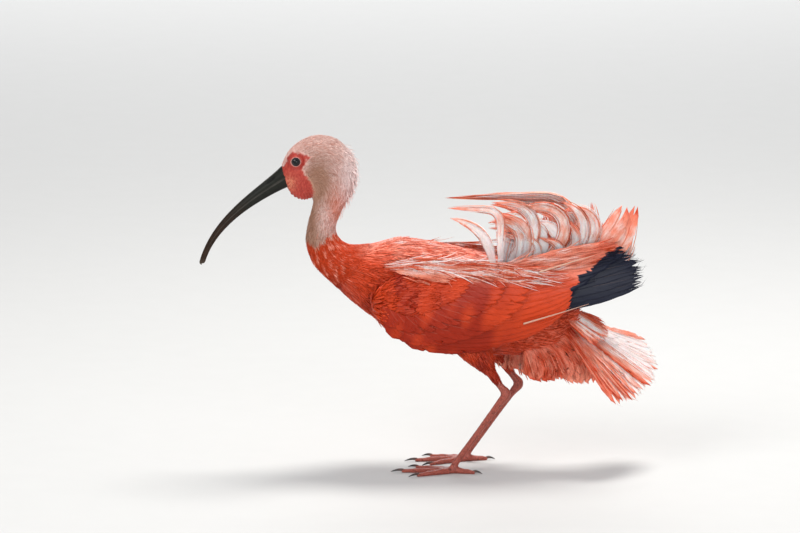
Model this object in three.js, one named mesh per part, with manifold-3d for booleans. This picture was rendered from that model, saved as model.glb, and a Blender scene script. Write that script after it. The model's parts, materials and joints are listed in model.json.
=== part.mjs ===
// A life-size scarlet ibis as it bathes: crouched on both feet, neck drawn up, wings held loosely, the long inner
// wing feathers thrown up over the back, the wet tail fanned and dipped. Millimetres, +Z up; the bill points along
// -X, and -Y is the bird's left.
import * as THREE from "three";
import { mergeVertices } from "three/addons/utils/BufferGeometryUtils.js";
import Module from "manifold-3d";

const wasm = await Module();
wasm.setup();

// Driving dimensions
const gap = 0.3; // left between pieces that touch
const billLength = 121.5;
const eyeRadius = 5.4;
const tarsusLength = 85;
const middleToeLength = 50;
const wingReach = 51; // from the middle plane to the sheet that each folded wing lies in
const wingPadHeight = 4.8; // arm and hand above that sheet
const shaft = 0.9; // thickness of a feather along its middle
const edge = 0.6; // and at its edges
const secondaryWidth = 26;
const primaryWidth = 17;
const tailLength = 115;
const tailWidth = 21;

// The body from the face to the rump, as sections that run from the back line to the belly line: the two outline
// points as [x, z], the half width, and how high up the section its widest line lies.
const bodySections = [
  { back: [-158, 297], belly: [-157, 270], half: 9.5, waist: 0.5 }, // face, where the bill starts
  { back: [-152, 307.5], belly: [-149, 265], half: 13, waist: 0.5 }, // lores
  { back: [-140, 317], belly: [-139, 260], half: 16, waist: 0.55 }, // eyes
  { back: [-125, 321], belly: [-131, 261], half: 18, waist: 0.58 }, // crown
  { back: [-108, 317.5], belly: [-130, 258], half: 18.5, waist: 0.6 },
  { back: [-94, 304], belly: [-130.5, 253], half: 18, waist: 0.6 }, // nape
  { back: [-88.5, 286], belly: [-132, 247], half: 17, waist: 0.56 },
  { back: [-92, 268], belly: [-134.5, 240], half: 15.5, waist: 0.52 },
  { back: [-101, 251], belly: [-136.5, 232], half: 14.5, waist: 0.5 }, // upper neck
  { back: [-107, 234], belly: [-138, 221], half: 14, waist: 0.5 },
  { back: [-104, 223], belly: [-136, 209], half: 15, waist: 0.5 }, // lower neck
  { back: [-94, 216.5], belly: [-129, 194], half: 20, waist: 0.5 },
  { back: [-76, 217], belly: [-108, 173], half: 31, waist: 0.5 }, // breast
  { back: [-50, 222], belly: [-77, 148], half: 39, waist: 0.5 }, // shoulders
  { back: [-19, 219.5], belly: [-36, 122], half: 42, waist: 0.5 },
  { back: [16, 212], belly: [10, 112], half: 42, waist: 0.5 }, // deepest part of the trunk
  { back: [50, 202], belly: [54, 109], half: 36, waist: 0.5 },
  { back: [82, 186], belly: [92, 114], half: 27, waist: 0.53 }, // rump and vent
  { back: [106, 170], belly: [115, 133], half: 16, waist: 0.55 }, // root of the tail
];
const headEnd = 6.8; // sections at which the body is parted
const neckEnd = 11.4;
const trunkEnd = 17.3;
const ventPlane = { x: 44, z: 120, slope: 14 }; // parts the vent, with the feathers under the tail, from the trunk

// Geometry helpers

const rad = THREE.MathUtils.degToRad;
const mix = THREE.MathUtils.lerp;
const clamp = THREE.MathUtils.clamp;
const sides = { left: -1, right: 1 };

const v3 = (x, y, z) => new THREE.Vector3(x, y, z);
const spline = (...points) => new THREE.SplineCurve(points.map(([a, b]) => new THREE.Vector2(a, b)));

// Repeatable random numbers from 0 to 1, so that no two feathers are quite alike.
let seed = 20;
function random() {
  seed = (seed * 16807) % 2147483647;
  return seed / 2147483647;
}
const vary = (amount) => 1 + amount * (2 * random() - 1);

// Triangles through points, turned outwards whichever way they ran.
function geometryOf(points, index) {
  let volume = 0;
  for (let i = 0; i < index.length; i += 3) {
    const [a, b, c] = [points[index[i]], points[index[i + 1]], points[index[i + 2]]];
    volume += a.dot(b.clone().cross(c));
  }
  if (volume < 0) {
    index.reverse();
  }
  const geometry = new THREE.BufferGeometry().setFromPoints(points);
  geometry.setIndex(index);
  return geometry;
}

// A closed body through rings of equal length; both ends are closed by a fan round the middle of their ring.
function loft(rings) {
  const size = rings[0].length;
  const points = rings.flat();
  const index = [];
  for (let k = 0; k < size; k++) {
    const next = (k + 1) % size;
    for (let m = 0; m < (rings.length - 1) * size; m += size) {
      index.push(m + k, m + next, m + size + next, m + k, m + size + next, m + size + k);
    }
    const end = (rings.length - 1) * size;
    index.push(next, k, points.length, end + k, end + next, points.length + 1);
  }
  for (const ring of [rings[0], rings.at(-1)]) {
    points.push(ring.reduce((sum, p) => sum.add(p), v3(0, 0, 0)).divideScalar(size));
  }
  return geometryOf(points, index);
}

function solidOf(geometry) {
  const bare = geometry.clone();
  bare.deleteAttribute("normal");
  bare.deleteAttribute("uv");
  const merged = mergeVertices(bare, 1e-4);
  return new wasm.Manifold(
    new wasm.Mesh({
      numProp: 3,
      vertProperties: new Float32Array(merged.attributes.position.array),
      triVerts: new Uint32Array(merged.index.array),
    }),
  );
}

// A three.js shape turned by degrees, scaled and put in its place.
function placed(geometry, position, rotation = [0, 0, 0], scale = [1, 1, 1]) {
  const matrix = new THREE.Matrix4().compose(
    v3(...position),
    new THREE.Quaternion().setFromEuler(new THREE.Euler(...rotation.map(rad))),
    v3(...scale),
  );
  return solidOf(geometry.clone().applyMatrix4(matrix));
}

function ellipsoid(centre, radii, rotation, grow = 0, round = 12) {
  const ball = new THREE.SphereGeometry(1, round, Math.round(round * 0.7));
  return placed(ball, centre, rotation, radii.map((r) => r + grow));
}

const joined = (solids) => solids.reduce((all, s) => all.add(s));
const cutBy = (solid, ...cutters) => cutters.reduce((left, c) => left.subtract(c), solid);

// The largest closed surface of a solid, which leaves out loose scraps.
function largest(solid) {
  return solid.decompose().sort((a, b) => b.volume() - a.volume())[0];
}

// A limb through stations of [point, half thickness in the side view, half thickness across].
function limb(stations, { sides = 10, steps = 3, grow = 0 } = {}) {
  const line = new THREE.CatmullRomCurve3(stations.map((s) => s[0]));
  const girth = new THREE.CatmullRomCurve3(stations.map((s) => v3(s[1], s[2], 0)));
  const count = (stations.length - 1) * steps;
  const rings = [];
  for (let i = 0; i <= count; i++) {
    const ahead = line.getTangent(i / count);
    const push = i === 0 ? -grow : i === count ? grow : 0;
    const at = line.getPoint(i / count).addScaledVector(ahead, push);
    const across = v3(0, 1, 0).addScaledVector(ahead, -ahead.y).normalize();
    const front = across.clone().cross(ahead);
    const { x: deep, y: wide } = girth.getPoint(i / count);
    const ring = [];
    for (let k = 0; k < sides; k++) {
      const angle = (2 * Math.PI * k) / sides;
      const p = at.clone().addScaledVector(front, Math.cos(angle) * (deep + grow));
      ring.push(p.addScaledVector(across, Math.sin(angle) * (wide + grow)));
    }
    rings.push(ring);
  }
  return solidOf(loft(rings));
}

const group = new THREE.Group();
const materials = {
  downPink: new THREE.MeshStandardMaterial({ color: 0xf0c0b4, roughness: 0.85 }),
  scarlet: new THREE.MeshStandardMaterial({ color: 0xe0401e, roughness: 0.5 }),
  deepRed: new THREE.MeshStandardMaterial({ color: 0xc02c1c, roughness: 0.5 }),
  inkTipped: new THREE.MeshStandardMaterial({ color: 0x2a2530, roughness: 0.45 }),
  coral: new THREE.MeshStandardMaterial({ color: 0xf0806c, roughness: 0.55 }),
  horn: new THREE.MeshStandardMaterial({ color: 0x35322a, roughness: 0.4 }),
  eye: new THREE.MeshStandardMaterial({ color: 0x0b0d0d, roughness: 0.08 }),
  legSkin: new THREE.MeshStandardMaterial({ color: 0x9a4038, roughness: 0.6 }),
  claw: new THREE.MeshStandardMaterial({ color: 0x2a2523, roughness: 0.45 }),
};

function addNode(name, solid, material) {
  const { vertProperties, triVerts } = largest(solid).getMesh();
  const geometry = new THREE.BufferGeometry();
  geometry.setAttribute("position", new THREE.BufferAttribute(vertProperties, 3));
  geometry.setIndex(new THREE.BufferAttribute(triVerts, 1));
  geometry.computeVertexNormals();
  const mesh = new THREE.Mesh(geometry, material);
  mesh.name = name;
  group.add(mesh);
}

// Body: one loft, parted into head, neck, trunk and tail root by thin cuts

const bodySides = 16;
const ringsPerSection = 1.6;
const lastSection = bodySections.length - 1;
const outline = (key) => new THREE.CatmullRomCurve3(bodySections.map((s) => v3(s[key][0], 0, s[key][1])));
const backLine = outline("back");
const bellyLine = outline("belly");
const girthLine = new THREE.CatmullRomCurve3(bodySections.map((s) => v3(s.half, s.waist, 0)));

// Middle, directions and reaches of the section at s, counted in sections from the face.
function sectionAt(s) {
  const t = clamp(s / lastSection, 0, 1);
  const back = backLine.getPoint(t);
  const belly = bellyLine.getPoint(t);
  const { x: half, y: waist } = girthLine.getPoint(t);
  const height = back.distanceTo(belly);
  const up = back.clone().sub(belly).normalize();
  return {
    middle: belly.clone().lerp(back, waist),
    up,
    along: v3(up.z, 0, -up.x), // towards the tail
    above: height * (1 - waist),
    below: height * waist,
    half,
  };
}

// A point on the body: angle 0 is the back line, 90 the widest line. The trunk is fuller than an ellipse.
function onBody(s, angle, grow = 0) {
  const { middle, up, above, below, half } = sectionAt(s);
  const rise = Math.cos(rad(angle));
  const out = Math.sin(rad(angle));
  const fullness = 1 - 0.22 * THREE.MathUtils.smoothstep(s, neckEnd, neckEnd + 2.5);
  const p = middle.clone().addScaledVector(up, rise * ((rise > 0 ? above : below) + grow));
  return p.setY(Math.sign(out) * Math.abs(out) ** fullness * (half + grow));
}

function bodySolid(grow = 0) {
  const count = Math.round(lastSection * ringsPerSection);
  const rings = [];
  for (let i = 0; i <= count; i++) {
    const s = (i * lastSection) / count;
    const push = i === 0 ? -grow : i === count ? grow : 0;
    const ring = [];
    for (let k = 0; k < bodySides; k++) {
      ring.push(onBody(s, (360 * k) / bodySides, grow).addScaledVector(sectionAt(s).along, push));
    }
    rings.push(ring);
  }
  return solidOf(loft(rings));
}

// A thin plate across the body at section s.
function partingPlate(s) {
  const { middle, up, along, above, below, half } = sectionAt(s);
  const spread = 1.3;
  const box = new THREE.BoxGeometry(gap, 2 * half * spread, (above + below) * spread);
  const centre = middle.clone().addScaledVector(up, (above - below) / 2);
  const tilt = new THREE.Matrix4().makeBasis(along, v3(0, 1, 0), up).setPosition(centre);
  return solidOf(box.applyMatrix4(tilt));
}

const body = bodySolid();
const bodyGrown = bodySolid(gap);

// Eyes, lids, throat pouch and gape

const eyePlace = v3(-146, 9.6, 297);
const eyeBall = (side, grow = 0) =>
  ellipsoid([eyePlace.x, side * eyePlace.y, eyePlace.z], [eyeRadius, eyeRadius, eyeRadius], [90, 0, 0], grow, 10);

const lids = (side) =>
  placed(
    new THREE.TorusGeometry(eyeRadius, 1.1, 4, 12),
    [eyePlace.x, side * (eyePlace.y + 2.9), eyePlace.z],
    [90, 0, side * 10],
    [1.06, 0.94, 0.9],
  );

const pouch = (grow = 0) => ellipsoid([-141, 0, 270], [15, 9, 13], [0, 25, 0], grow);
const gape = placed(new THREE.BoxGeometry(18, 40, 0.5), [-156, 0, 281.4], [0, -16, 0]);

// Bill: one curved horn in two jaws, parted along the line of the mouth

const billRoot = v3(-154.5, 0, 281.9);
const billSteps = 12;
const billDepth = (t) => 5.3 + 12.3 * (1 - t) ** 1.7 + 3.2 * Math.exp(-t / 0.1);
const billWidth = (t) => 3.2 + 7.3 * (1 - t) ** 1.1 + 5.5 * Math.exp(-t / 0.12);
const billDrop = (t) => rad(33 + 43.5 * t ** 2.2); // below level

function billFrames() {
  const frames = [];
  const at = billRoot.clone();
  const fine = 8;
  for (let i = 0; i <= billSteps; i++) {
    const drop = billDrop(i / billSteps);
    frames.push({ t: i / billSteps, at: at.clone(), up: v3(-Math.sin(drop), 0, Math.cos(drop)) });
    for (let k = 0; k < fine; k++) {
      const d = billDrop((i + (k + 0.5) / fine) / billSteps);
      at.addScaledVector(v3(-Math.cos(d), 0, -Math.sin(d)), billLength / billSteps / fine);
    }
  }
  return frames;
}

// Way is 1 for the upper jaw and -1 for the lower.
function jaw(way, steps) {
  const round = 7;
  const rings = billFrames().slice(0, steps + 1).map(({ t, at, up }) => {
    const ring = [];
    for (let k = 0; k <= round; k++) {
      const angle = (Math.PI * k) / round;
      const rise = way * ((Math.sin(angle) * billDepth(t)) / 2 + gap / 2);
      ring.push(at.clone().addScaledVector(up, rise).setY((Math.cos(angle) * billWidth(t)) / 2));
    }
    return ring;
  });
  return solidOf(loft(rings));
}

const nostril = (side) => ellipsoid([billRoot.x - 17, side * 4.8, billRoot.z - 6.4], [5, 1.5, 0.8], [0, -38, 0]);

// Feather vanes

// Outlines of a vane, as [distance along, share of the full width].
const short = [[0, 0.4], [0.74, 1], [1, 0.38]];
const fanned = [[0, 0.2], [0.4, 0.84], [0.88, 0.94], [1, 0.4]];
const rounded = [[0, 0.14], [0.2, 0.9], [0.55, 1], [0.86, 0.88], [1, 0.36]];
const pointed = [[0, 0.2], [0.22, 0.94], [0.55, 1], [0.84, 0.6], [1, 0.1]];
const streaming = [[0, 0.5], [0.12, 0.72], [0.27, 0.95], [0.42, 1], [0.56, 1], [0.7, 0.85], [0.85, 0.52], [1, 0.1]];

// A flat feather with a thick shaft and thinner edges, along a curve in the plane of its tier. It stands h out of
// that plane, its left edge is lower by tilt for each millimetre, and place(a, b, h) carries a point into space.
function vane({ path, width, place, h = 0, tilt = 0, lift = 0, form = rounded }) {
  const rings = form.map(([t, share]) => {
    const at = path.getPoint(t);
    const ahead = path.getTangent(t);
    const upper = [];
    const lower = [];
    for (const across of [-1, 0, 1]) {
      const reach = (across * width * share) / 2;
      const half = (across === 0 ? mix(shaft, edge, t) : edge) / 2;
      const out = h + lift * t * t - tilt * reach;
      const [a, b] = [at.x - ahead.y * reach, at.y + ahead.x * reach];
      upper.push(place(a, b, out + half));
      lower.unshift(place(a, b, out - half));
    }
    return [...upper, ...lower];
  });
  return solidOf(vaneLoft(rings));
}

// A loft of six-point rings, split into triangles alike on both faces.
function vaneLoft(rings) {
  const index = [];
  for (let m = 0; m < (rings.length - 1) * 6; m += 6) {
    const n = m + 6;
    for (const k of [0, 1, 2]) {
      index.push(m + k, m + k + 1, n + k + 1, m + k, n + k + 1, n + k);
    }
    for (const k of [3, 4]) {
      index.push(m + k, m + k + 1, n + k, n + k, m + k + 1, n + k + 1);
    }
    index.push(m + 5, m, n, m + 5, n, n + 5);
  }
  const last = (rings.length - 1) * 6;
  index.push(0, 5, 1, 1, 5, 4, 1, 4, 2, 2, 4, 3);
  index.push(...[0, 1, 5, 1, 4, 5, 1, 2, 4, 2, 3, 4].map((k) => k + last));
  return geometryOf(rings.flat(), index);
}

// A gentle arc between two points that bows to the left of the way it runs.
function arc(root, tip, bow = 0) {
  const side = new THREE.Vector2(root.y - tip.y, tip.x - root.x).multiplyScalar(2 * bow);
  const middle = root.clone().lerp(tip, 0.5).add(side);
  return new THREE.QuadraticBezierCurve(root, middle, tip);
}

// A curl that sets out at a heading and turns by the given degrees over the stretch named by bend.
function curl([a, b], { heading, turn, bend, length }) {
  const points = [new THREE.Vector2(a, b)];
  const count = 14;
  for (let i = 0; i < count; i++) {
    const way = rad(heading + turn * THREE.MathUtils.smoothstep((i + 0.5) / count, ...bend));
    const step = new THREE.Vector2(Math.cos(way), Math.sin(way)).multiplyScalar(length / count);
    points.push(points.at(-1).clone().add(step));
  }
  return new THREE.SplineCurve(points);
}

// Vanes whose roots and tips follow two curves, from the outermost feather to the innermost.
function tier({ count, from = 0, roots, tips, bow = [0, 0], width, jitter = 1.2, ...rest }) {
  return Array.from({ length: count }, (_, i) => {
    const u = mix(from, 1, i / (count - 1));
    const tip = tips.getPoint(u).add(new THREE.Vector2(jitter * (random() - 0.5), jitter * (random() - 0.5)));
    const path = arc(roots.getPoint(u), tip, mix(...bow, u));
    return vane({ path, width: width * vary(0.04), ...rest });
  });
}

// A flat strip along a curve, between two heights over the plane of the tier, into which the roots are sunk.
function strip({ path, width, low, high, place, steps = 6 }) {
  const rings = [];
  for (let i = 0; i <= steps; i++) {
    const at = path.getPoint(i / steps);
    const ahead = path.getTangent(i / steps);
    const ring = [];
    for (const [across, h] of [[-1, low], [1, low], [1, high], [-1, high]]) {
      const reach = (across * width) / 2;
      ring.push(place(at.x - ahead.y * reach, at.y + ahead.x * reach, h));
    }
    rings.push(ring);
  }
  return solidOf(loft(rings));
}

// Wing: a pad of arm and hand on the trunk's side, with the tiers of feathers behind and below it

// How far the wing's sheet lies from the middle plane.
function sheet(x, z) {
  const fore = Math.max(0, -20 - x);
  const aft = Math.max(0, x + 20);
  const belt = wingReach - 0.0028 * fore ** 2 - 25 * (aft / 200) ** 1.5;
  const level = 166 + 0.09 * aft;
  return belt - (z > level ? 0.0072 : 0.0052) * (z - level) ** 2;
}

const onWing = (side) => (a, b, h) => v3(a, side * (sheet(a, b) + h), b);

const padOutline = new THREE.SplineCurve(
  [
    [-22, 201], [-52, 192], [-75, 173], [-72, 152], [-52, 137], [-20, 140], [12, 152], [34, 169], [42, 187],
    [22, 199], [-22, 201],
  ].map(([a, b]) => new THREE.Vector2(a, b)),
);
const padCentre = new THREE.Vector2(-18, 170);

// Rings of the pad, as [share of the outline, height over the sheet].
const padProfile = [
  [0.15, 1.02], [0.6, 0.98], [0.87, 0.76], [1, -0.1], [0.92, -1.8], [0.5, -3],
];

function wingPad(side, grow = 0) {
  const place = onWing(side);
  const points = 18;
  const rings = padProfile.map(([share, height]) => {
    const ring = [];
    const h = height * wingPadHeight + Math.sign(height + 0.3) * grow;
    for (let k = 0; k < points; k++) {
      const out = padOutline.getPoint(k / points).sub(padCentre);
      const reach = out.length() * share + (share > 0.8 ? grow : 0);
      const at = out.normalize().multiplyScalar(reach).add(padCentre);
      ring.push(place(at.x, at.y, h));
    }
    return ring;
  });
  return solidOf(loft(rings));
}

// Curves in the wing's sheet along which roots and tips lie, from the wrist to the elbow
const secondaryRoots = spline([-50, 137], [-20, 140], [12, 152], [34, 170], [42, 190]);
const secondaryTips = spline([66, 141], [98, 154], [114, 169], [121, 186], [140, 200], [165, 214]);
const greaterRoots = spline([-62, 153], [-46, 144], [-20, 147], [8, 158], [26, 173], [32, 191]);
const greaterTips = spline([-45, 136], [-14, 131], [22, 138], [52, 153], [70, 169], [78, 190]);
const medianRoots = spline([-60, 162], [-42, 155], [-18, 159], [2, 168], [15, 180], [18, 193]);
const medianTips = spline([-50, 144], [-26, 141], [6, 149], [34, 163], [50, 177], [56, 192]);
const scapularRoots = spline([12, 186], [-4, 194], [-18, 201]);
const scapularTips = spline([88, 184], [72, 192], [44, 199]);
const primaryRoots = spline([33, 160], [44, 176], [48, 190]);
const primaryTips = spline([179, 179], [183, 188], [179, 199], [171, 209], [158, 214]);

function wingSolid(side) {
  const place = onWing(side);
  const coverts = [
    ...tier({
      count: 9, roots: greaterRoots, tips: greaterTips, bow: [-0.06, 0], width: 17, h: 4.1, lift: 0.6, tilt: 0.13,
      form: short, place,
    }),
    ...tier({
      count: 6, roots: medianRoots, tips: medianTips, bow: [-0.06, 0], width: 15, h: 4.8, lift: 1.9, tilt: 0.12,
      form: short, place,
    }),
    ...tier({
      count: 4, roots: scapularRoots, tips: scapularTips, width: 17, h: 4.9, lift: 3, tilt: 0.12, form: short, place,
    }),
  ];
  return cutBy(wingPad(side), bodyGrown).add(joined(coverts));
}

function secondariesSolid(side) {
  const place = onWing(side);
  const bed = strip({ path: secondaryRoots, width: 9, low: -1.6, high: 1.6, place });
  const vanes = tier({
    count: 9, roots: secondaryRoots, tips: secondaryTips, bow: [-0.09, 0.02], width: secondaryWidth, h: 0.4,
    tilt: 0.15, place,
  });
  return cutBy(joined([bed, ...vanes]), wingPad(side, gap));
}

function primariesSolid(side) {
  const place = onWing(side);
  const bed = strip({ path: primaryRoots, width: 12, low: -6.2, high: -2.1, place });
  const vanes = tier({
    count: 6, roots: primaryRoots, tips: primaryTips, bow: [-0.03, 0.02], width: primaryWidth, h: -4.2, tilt: 0.14,
    form: pointed, place,
  });
  return cutBy(joined([bed, ...vanes]), wingPad(side, gap), bodyGrown);
}

// Thrown-up inner wing feathers: plumes that curl up and forward from a root let into each side of the back

const ridgeFrom = 15.5;
const ridgeTo = 17.05;
const ridgeAngle = 36;

function onRidge(side) {
  return (a, b, h) => {
    const wall = mix(27, 14, clamp((a - 20) / 100, -0.4, 1));
    const apart = clamp((b - 190) / 40, 0.2, 1);
    return v3(a, side * (wall + 0.13 * (b - 195) + h * apart), b);
  };
}

function ridge(side, grow = 0) {
  const stations = [[0.12, 10, 3], [0.28, 6.5, 7.5], [0.64, 6.5, 8], [1, 6.5, 7]].map(([t, sunk, deep]) => {
    const p = onBody(mix(ridgeFrom, ridgeTo, t), ridgeAngle, -sunk);
    return [onRidge(side)(p.x, p.z, 0), deep, 4.5];
  });
  return limb(stations, { sides: 8, steps: 2, grow });
}

// Each plume: share of the way along the root, heading there, the curl, length and width.
const plumes = {
  left: [
    { at: 0.17, heading: 101, turn: 62, bend: [0.14, 1], length: 76, width: 11 },
    { at: 0.26, heading: 90, turn: 86, bend: [0.45, 0.67], length: 109, width: 10 },
    { at: 0.5, heading: 76, turn: 116, bend: [0.3, 1], length: 82, width: 14 },
    { at: 0.62, heading: 74, turn: 100, bend: [0.35, 0.9], length: 108, width: 12 },
    { at: 0.8, heading: 54, turn: 136, bend: [0.3, 0.85], length: 132, width: 14 },
    { at: 0.9, heading: 44, turn: 110, bend: [0.4, 1], length: 112, width: 15 },
    { at: 0.97, heading: 43, turn: 150, bend: [0.45, 1], length: 122, width: 18 },
    { at: 1, heading: 36, turn: 36, bend: [0.5, 1], length: 116, width: 25 },
    { at: 1, heading: 24, turn: 50, bend: [0.45, 0.85], length: 130, width: 15 },
  ],
  right: [
    { at: 0.56, heading: 80, turn: 90, bend: [0.3, 1], length: 70, width: 12 },
    { at: 0.66, heading: 72, turn: 104, bend: [0.3, 0.85], length: 98, width: 13 },
    { at: 0.76, heading: 56, turn: 122, bend: [0.25, 0.75], length: 138, width: 13 },
    { at: 0.86, heading: 48, turn: 134, bend: [0.2, 0.57], length: 206, width: 9 },
    { at: 0.94, heading: 46, turn: 108, bend: [0.35, 1], length: 96, width: 17 },
    { at: 1, heading: 36, turn: 62, bend: [0.3, 1], length: 100, width: 18 },
    { at: 1, heading: 14, turn: 62, bend: [0.45, 0.85], length: 124, width: 17 },
    { at: 1, heading: 22, turn: 40, bend: [0.4, 1], length: 112, width: 18 },
  ],
};

function plumesSolid(name, side) {
  const list = plumes[name];
  const vanes = list.map((p, i) => {
    const s = mix(ridgeFrom, ridgeTo, p.at);
    const root = onBody(s, ridgeAngle, -4);
    return vane({
      path: curl([root.x, root.z], p),
      width: p.width,
      h: mix(5, -5, i / (list.length - 1)),
      form: p.turn > 50 ? streaming : rounded,
      place: onRidge(side),
    });
  });
  return cutBy(joined(vanes), cutBy(bodyGrown, ridge(side))).add(ridge(side));
}

// Tail: a fan that dips and leans to the bird's left, with coverts over and under its root

function fanFrame(origin, pitch, roll) {
  const turn = new THREE.Quaternion().setFromEuler(new THREE.Euler(0, rad(-pitch), 0));
  turn.multiply(new THREE.Quaternion().setFromEuler(new THREE.Euler(rad(roll), 0, 0)));
  return (a, b, h) => v3(a, b, h).applyQuaternion(turn).add(origin);
}

function fan({ count, spread, length, width, h, step, root = 0, place, form = rounded }) {
  return Array.from({ length: count }, (_, i) => {
    const u = (2 * i) / (count - 1) - 1;
    const way = rad(spread * u);
    const reach = length * vary(0.05) * (1 - 0.06 * u * u);
    const from = new THREE.Vector2(root * Math.cos(way), 0.35 * root * Math.sin(way) + u * 4);
    const to = new THREE.Vector2(Math.cos(way) * reach, Math.sin(way) * reach);
    return vane({
      path: arc(from, to, -0.03 * u),
      width,
      h: h - step * Math.abs(i - (count - 1) / 2 + 0.1),
      form,
      place,
    });
  });
}

const tailBase = v3(103, 0, 151);
const onTail = fanFrame(tailBase, -37, 26);

const knob = (grow = 0) => ellipsoid([109, 0, 147], [16, 14, 8.5], [26, 37, 0], grow, 8);

function tailSolid(root) {
  const feathers = fan({
    count: 12, spread: 32, length: tailLength, width: tailWidth, h: 1, step: 1.25, root: 4, form: fanned,
    place: onTail,
  });
  const coverts = fan({
    count: 5, spread: 24, length: 50, width: 17, h: 6, step: 1.2, root: -6, form: short,
    place: fanFrame(tailBase, -33, 22),
  });
  return cutBy(joined([root, knob(), ...feathers, ...coverts]), partingPlate(trunkEnd));
}

function ventBlock(grow = 0) {
  const block = new THREE.BoxGeometry(100, 120, 80).translate(50 - grow, 0, grow - 40);
  return placed(block, [ventPlane.x, 0, ventPlane.z], [0, -ventPlane.slope, 0]);
}

// Wet feathers that hang as a curtain from each side of the belly, and a few between, roots and tips as [x, z].
const curtainRoots = spline([50, 121], [76, 124], [104, 134]);
const curtainTips = spline([47, 92], [76, 84], [106, 84], [134, 80]);
const curtainFrom = { left: 0.5, right: 0 }; // the left side has lost the front of its curtain to the water
const middleVents = [
  { x: 76, z: 122, pitch: -68, length: 38, count: 3, spread: 22 },
  { x: 98, z: 128, pitch: -62, length: 46, count: 3, spread: 24 },
];

function ventSolid() {
  const bed = body.intersect(ventBlock());
  const vanes = middleVents.flatMap(({ x, z, pitch, ...rest }) =>
    fan({ width: 17, h: 0, step: 1.2, form: short, place: fanFrame(v3(x, 0, z), pitch, 16), ...rest }),
  );
  for (const [name, side] of Object.entries(sides)) {
    const place = (a, b, h) => v3(a, side * (mix(21, 11, (a - 50) / 60) + 0.06 * (120 - b) + h), b);
    const from = curtainFrom[name];
    vanes.push(...tier({
      count: Math.round(mix(7, 0, from)), from, roots: curtainRoots, tips: curtainTips, bow: [0.02, 0.08],
      width: 18, h: 0, tilt: -0.14, form: short, place,
    }));
  }
  const tailLine = spline([-8, 0], [60, 0], [130, 0]);
  const tailSpace = strip({ path: tailLine, width: 140, low: -8, high: 3, steps: 1, place: onTail });
  const legs = Object.values(sides).flatMap((side) => [thighSolid(side, gap), shankSolid(side, gap)]);
  return cutBy(joined([bed, ...vanes]), cutBy(bodyGrown, ventBlock()), knob(gap), tailSpace, ...legs);
}

// Legs

const knee = v3(-5, 24, 163);
const ankle = v3(53, 27, 76);
const footTop = 7;
const footJoint = v3(ankle.x - Math.sqrt(tarsusLength ** 2 - (ankle.z - footTop) ** 2), 29, footTop);
const rightLegBack = 13; // the right leg stands this much further back

const legPoint = (p, side) => v3(p.x + (side > 0 ? rightLegBack : 0), side * p.y, p.z);

function thighSolid(side, grow = 0) {
  const down = (t) => legPoint(knee.clone().lerp(ankle, t), side);
  return limb([
    [down(0.12), 26, 10],
    [down(0.42), 19, 9.5],
    [down(0.6), 12.5, 8.5],
    [down(0.72), 7, 6],
    [down(0.8), 4.8, 4.6],
  ], { steps: 2, grow });
}

const shankTop = 0.74;

function shankSolid(side, grow = 0) {
  const upper = (t) => legPoint(knee.clone().lerp(ankle, t), side);
  const lower = (t) => legPoint(ankle.clone().lerp(footJoint, t), side);
  return limb(
    [
      [upper(shankTop), 3.7, 3.4],
      [upper(0.9), 3.5, 3.1],
      [lower(0), 5, 4.6],
      [lower(0.14), 3.6, 3],
      [lower(0.55), 3.1, 2.5],
      [lower(0.92), 3.3, 3],
      [lower(1), 3.4, 3.4],
    ],
    { sides: 8, steps: 2, grow },
  );
}

const toes = [
  { name: "inner", yaw: 26, length: 0.78 },
  { name: "middle", yaw: -4, length: 1 },
  { name: "outer", yaw: -32, length: 0.84 },
  { name: "hind", yaw: 168, length: 0.42 },
];
const toeRadius = 3.4; // at the root of a toe
const toeFlat = 0.6; // how far the pads are pressed flat

function toePoint({ yaw, length }, side, share) {
  const hub = legPoint(footJoint, side);
  const way = rad(yaw) * -side;
  const reach = middleToeLength * length * share;
  return v3(hub.x - Math.cos(way) * reach, hub.y - Math.sin(way) * reach, 0);
}

function toeSolid(toe, side, grow = 0) {
  const stations = [0, 0.32, 0.64, 1].map((share) => {
    const r = toeRadius - 1.3 * share;
    return [toePoint(toe, side, share).setZ(r - toeFlat), r, r];
  });
  return limb(stations, { sides: 7, steps: 1, grow });
}

function clawSolid(toe, side) {
  const length = 5 + 5 * toe.length;
  const from = toePoint(toe, side, 1);
  const way = from.clone().sub(toePoint(toe, side, 0.9)).normalize();
  const point = (t, z) => from.clone().addScaledVector(way, t * length).setZ(z);
  const stations = [
    [point(-0.2, 2.2), 1.5, 1.2],
    [point(0.35, 2.6), 1.3, 1],
    [point(0.75, 1.9), 0.8, 0.7],
    [point(1, 1), 0.35, 0.3],
  ];
  return cutBy(limb(stations, { sides: 6, steps: 1 }), toeSolid(toe, side, gap));
}

const underFloor = placed(new THREE.BoxGeometry(300, 200, 40), [0, 0, -20]);

function footBall(side, grow = 0) {
  const hub = legPoint(footJoint, side);
  return ellipsoid([hub.x, hub.y, 3.4], [5.4, 4.4, 4.8], [0, 0, 0], grow, 10);
}

function footSolid(side) {
  const front = toes.filter((t) => t.name !== "hind");
  const webs = front.slice(1).map((toe, i) => {
    const hub = legPoint(footJoint, side).setZ(0);
    const corners = [hub, toePoint(front[i], side, 0.34), toePoint(toe, side, 0.34)];
    return solidOf(loft([2.8, 1.2].map((z) => corners.map((p) => p.clone().setZ(z)))));
  });
  return cutBy(joined([footBall(side), ...toes.map((t) => toeSolid(t, side)), ...webs]), underFloor);
}

// Assembly

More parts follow.
